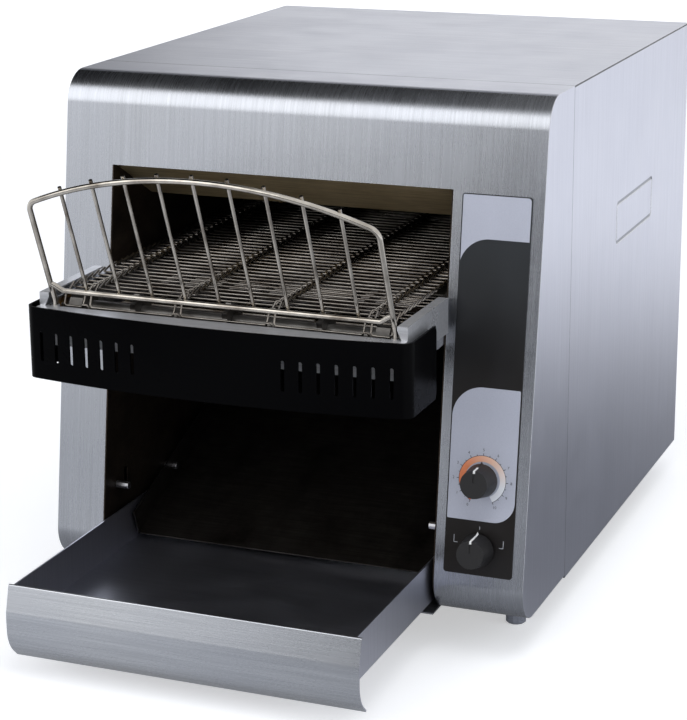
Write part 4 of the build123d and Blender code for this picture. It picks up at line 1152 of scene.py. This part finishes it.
kept = {
    "upper_reflector": reflectorSheet,
    "lower_reflector": reflectorSheet,
    "insulation_pad": wool,
    "upper_elements": sheath,
    "lower_elements": sheath,
    "element_ends": ceramic,
    "belt_supports": crumbSteel,
    "idler_bushes": bronze,
    "drive_bushes": bronze,
    "guard_spacers": armSteel,
    "idler_sprockets": oiledSteel,
    "drive_sprockets": oiledSteel,
    "drive_shaft": oiledSteel,
    "motor_sprocket": oiledSteel,
    "shaft_sprocket": oiledSteel,
    "drive_chain": oiledSteel,
    "gearbox": castAlloy,
    "drive_motor": motorLacquer,
    "motor_shaft": oiledSteel,
    "tray_runners": plainSteel,
    "speed_control": blackPlastic,
    "power_switch": blackPlastic,
    "speed_spindle": spindleSteel,
    "power_spindle": spindleSteel,
    "control_board": boardLaminate,
    "terminal_block": ceramic,
    "fan_housing": motorLacquer,
    "fan_rotor": blackPlastic,
    "foot_nuts": oiledSteel,
}
for node, material in kept.items():
    slots = nodes[node].data.materials
    if len(slots):
        for i in range(len(slots)):
            slots[i] = material
    else:
        slots.append(material)
missing = [name for name in nodes if name not in kept and not nodes[name].hide_render]
print("kept nodes finished; left over:", missing)

studio = {
    "floorSize": 14.0,
    "ambient": 0.68,
    "paperGlow": 0.47,
    "glowFrom": 1.4,
    "glowTo": 4.5,
    "lens": 108.89,
    "azimuth": 21.937,
    "elevation": 16.402,
    "roll": -0.502,
    "eye": (0.5964, -1.5084, 0.6404),
}

# dark patches of the table: middle, how much narrower than deep, where the fade starts and ends
darkPatches = (
    (0.38, 0.12, 1.6, 0.1, 1.25),
    (-0.42, 0.2, 1.6, 0.1, 1.1),
    (-0.76, -1.16, 1.0, 0.15, 0.85),
    (0.12, -0.74, 1.0, 0.05, 0.5),
)


def makeFloor():
    bpy.ops.object.select_all(action="DESELECT")
    bpy.ops.mesh.primitive_plane_add(size=studio["floorSize"], location=(0, 0, 0))
    floor = active()
    floor.name = "studioFloor"
    finish = Finish("studioFloorPaper")
    fibre = finish.noise((120, 120, 120), 3.0)
    paper = finish.mix(fibre, rgb(214, 215, 217), rgb(220, 221, 223))
    # metal shows the table dark beside and in front of the toaster and white further off
    x, y, _ = finish.axes(finish.object)
    away = 1.0
    for centreX, centreY, narrow, near, far in darkPatches:
        dx, dy = (x - centreX) * narrow, y - centreY
        away = finish.range((dx * dx + dy * dy).math("SQRT"), near, far, 0.0, 1.0, True) * away
    glossy = finish.rays("Is Glossy Ray")
    finish.put("Base Color", finish.mix(glossy * (1 - away), paper, rgb(104, 105, 108)))
    finish.put("Roughness", finish.range(fibre, 0.3, 0.7, 0.86, 0.94))
    # the paper glows a little, and more towards the horizon, so that it ends as white as the room
    reach = (x * x + y * y).math("SQRT")
    farOff = finish.range(
        reach, studio["glowFrom"], studio["glowTo"], studio["paperGlow"], 1.0, True
    )
    glow = finish.rays("Is Camera Ray", "Is Transmission Ray") * farOff
    glow = glow + glossy * away * studio["paperGlow"]
    finish.put("Emission Strength", 1.0)
    finish.put("Emission Color", finish.mix(glow.math("MINIMUM", 1.0), (0, 0, 0, 1), (1, 1, 1, 1)))
    floor.data.materials.append(finish.material)


# directions where the room fades to dark, as starts and ends of each fade
darkRoom = {
    "above": (0.36, 0.48),
    "ahead": (-0.55, -0.3),
    "side": (-0.3, -0.1),
    "cornerSide": (-0.52, -0.37),
    "cornerBack": (0.5, 0.7),
    "shade": rgb(14, 14, 13),
}


def makeWorld():
    world = bpy.data.worlds.new("studioWorld")
    bpy.context.scene.world = world
    world.use_nodes = True
    room = Nodes(world.node_tree)
    room.tree.nodes.clear()
    # a white cyclorama all round, with the dark of the studio above and behind on the left
    x, y, z = room.axes(room.node("ShaderNodeTexCoord", out=0))
    d = darkRoom
    dark = room.range(z, *d["above"], smooth=True) * room.range(y, *d["ahead"], smooth=True)
    dark = dark * room.range(x, *d["side"], 1.0, 0.0, True)
    corner = room.range(x, *d["cornerSide"], 0.9, 0.0, True)
    corner = corner * room.range(y, *d["cornerBack"], smooth=True)
    dark = (dark + corner * (z > 0)).math("MINIMUM", 1.0)
    glossy = room.rays("Is Glossy Ray")
    seen = room.rays("Is Camera Ray", "Is Glossy Ray", "Is Transmission Ray")
    shown = room.mix(dark * glossy, (1, 1, 1, 1), d["shade"])
    white = room.node("ShaderNodeBackground", {}, {"Color": shown})
    dimLight = {"Color": rgb(236, 240, 248), "Strength": studio["ambient"]}
    dim = room.node("ShaderNodeBackground", {}, dimLight)
    mixed = room.node("ShaderNodeMixShader", {}, [seen, dim, white])
    room.node("ShaderNodeOutputWorld", {}, {"Surface": mixed}, None)


softboxes = {
    "keyBox": {
        "place": (-1.7, -2.3, 2.0),
        "size": (3.0, 2.4),
        "power": 30.0,
        "tint": (1.0, 0.99, 0.97),
        "shine": True,
    },
    "fillBox": {
        "place": (2.4, -0.6, 1.1),
        "size": (1.6, 1.6),
        "power": 15.0,
        "tint": (0.9, 0.94, 1.0),
        "shine": False,
    },
    "topBox": {
        "place": (0.6, -0.6, 2.4),
        "size": (1.6, 1.2),
        "power": 18.0,
        "tint": (1.0, 1.0, 1.0),
        "shine": False,
    },
}
darkCloth = {"place": (0.05, -1.75, 0.06), "size": (1.28, 0.42, 1), "shade": rgb(58, 58, 60)}


def makeSoftboxes():
    aim = Vector((0, 0, 0.2))
    for name, box in softboxes.items():
        bpy.ops.object.light_add(type="AREA", location=box["place"])
        lamp = active()
        lamp.name = name
        lamp.data.shape = "RECTANGLE"
        lamp.data.size, lamp.data.size_y = box["size"]
        lamp.data.energy = box["power"]
        lamp.data.color = box["tint"]
        lamp.rotation_euler = (aim - Vector(box["place"])).to_track_quat("-Z", "Y").to_euler()
        lamp.visible_glossy = box["shine"]


def makeFlag():
    # a dark cloth in front of the toaster, seen only in reflections
    bpy.ops.object.select_all(action="DESELECT")
    bpy.ops.mesh.primitive_plane_add(
        size=1,
        location=darkCloth["place"],
        rotation=(math.pi / 2, 0, 0),
        scale=darkCloth["size"],
    )
    flag = active()
    flag.name = "studioFlag"
    cloth = Finish("studioFlagCloth", Roughness=0.95, Base_Color=darkCloth["shade"])
    flag.data.materials.append(cloth.material)
    flag.visible_camera = False
    flag.visible_diffuse = False
    flag.visible_shadow = False
    flag.visible_transmission = False


def makeCamera():
    data = bpy.data.cameras.new("studioCamera")
    data.lens = studio["lens"]
    data.sensor_width = 36
    data.clip_start = 0.05
    data.clip_end = 60
    camera = bpy.data.objects.new("studioCamera", data)
    link(camera)
    azimuth = math.radians(studio["azimuth"])
    elevation = math.radians(studio["elevation"])
    look = Vector((
        -math.sin(azimuth) * math.cos(elevation),
        math.cos(azimuth) * math.cos(elevation),
        -math.sin(elevation),
    ))
    upright = look.to_track_quat("-Z", "Y").to_matrix()
    rolled = upright @ Matrix.Rotation(math.radians(studio["roll"]), 3, "Z")
    camera.matrix_world = Matrix.Translation(studio["eye"]) @ rolled.to_4x4()
    bpy.context.scene.camera = camera


makeFloor()
makeWorld()
makeSoftboxes()
makeFlag()
makeCamera()
bpy.context.scene.view_settings.view_transform = "Standard"
print("studio ready")
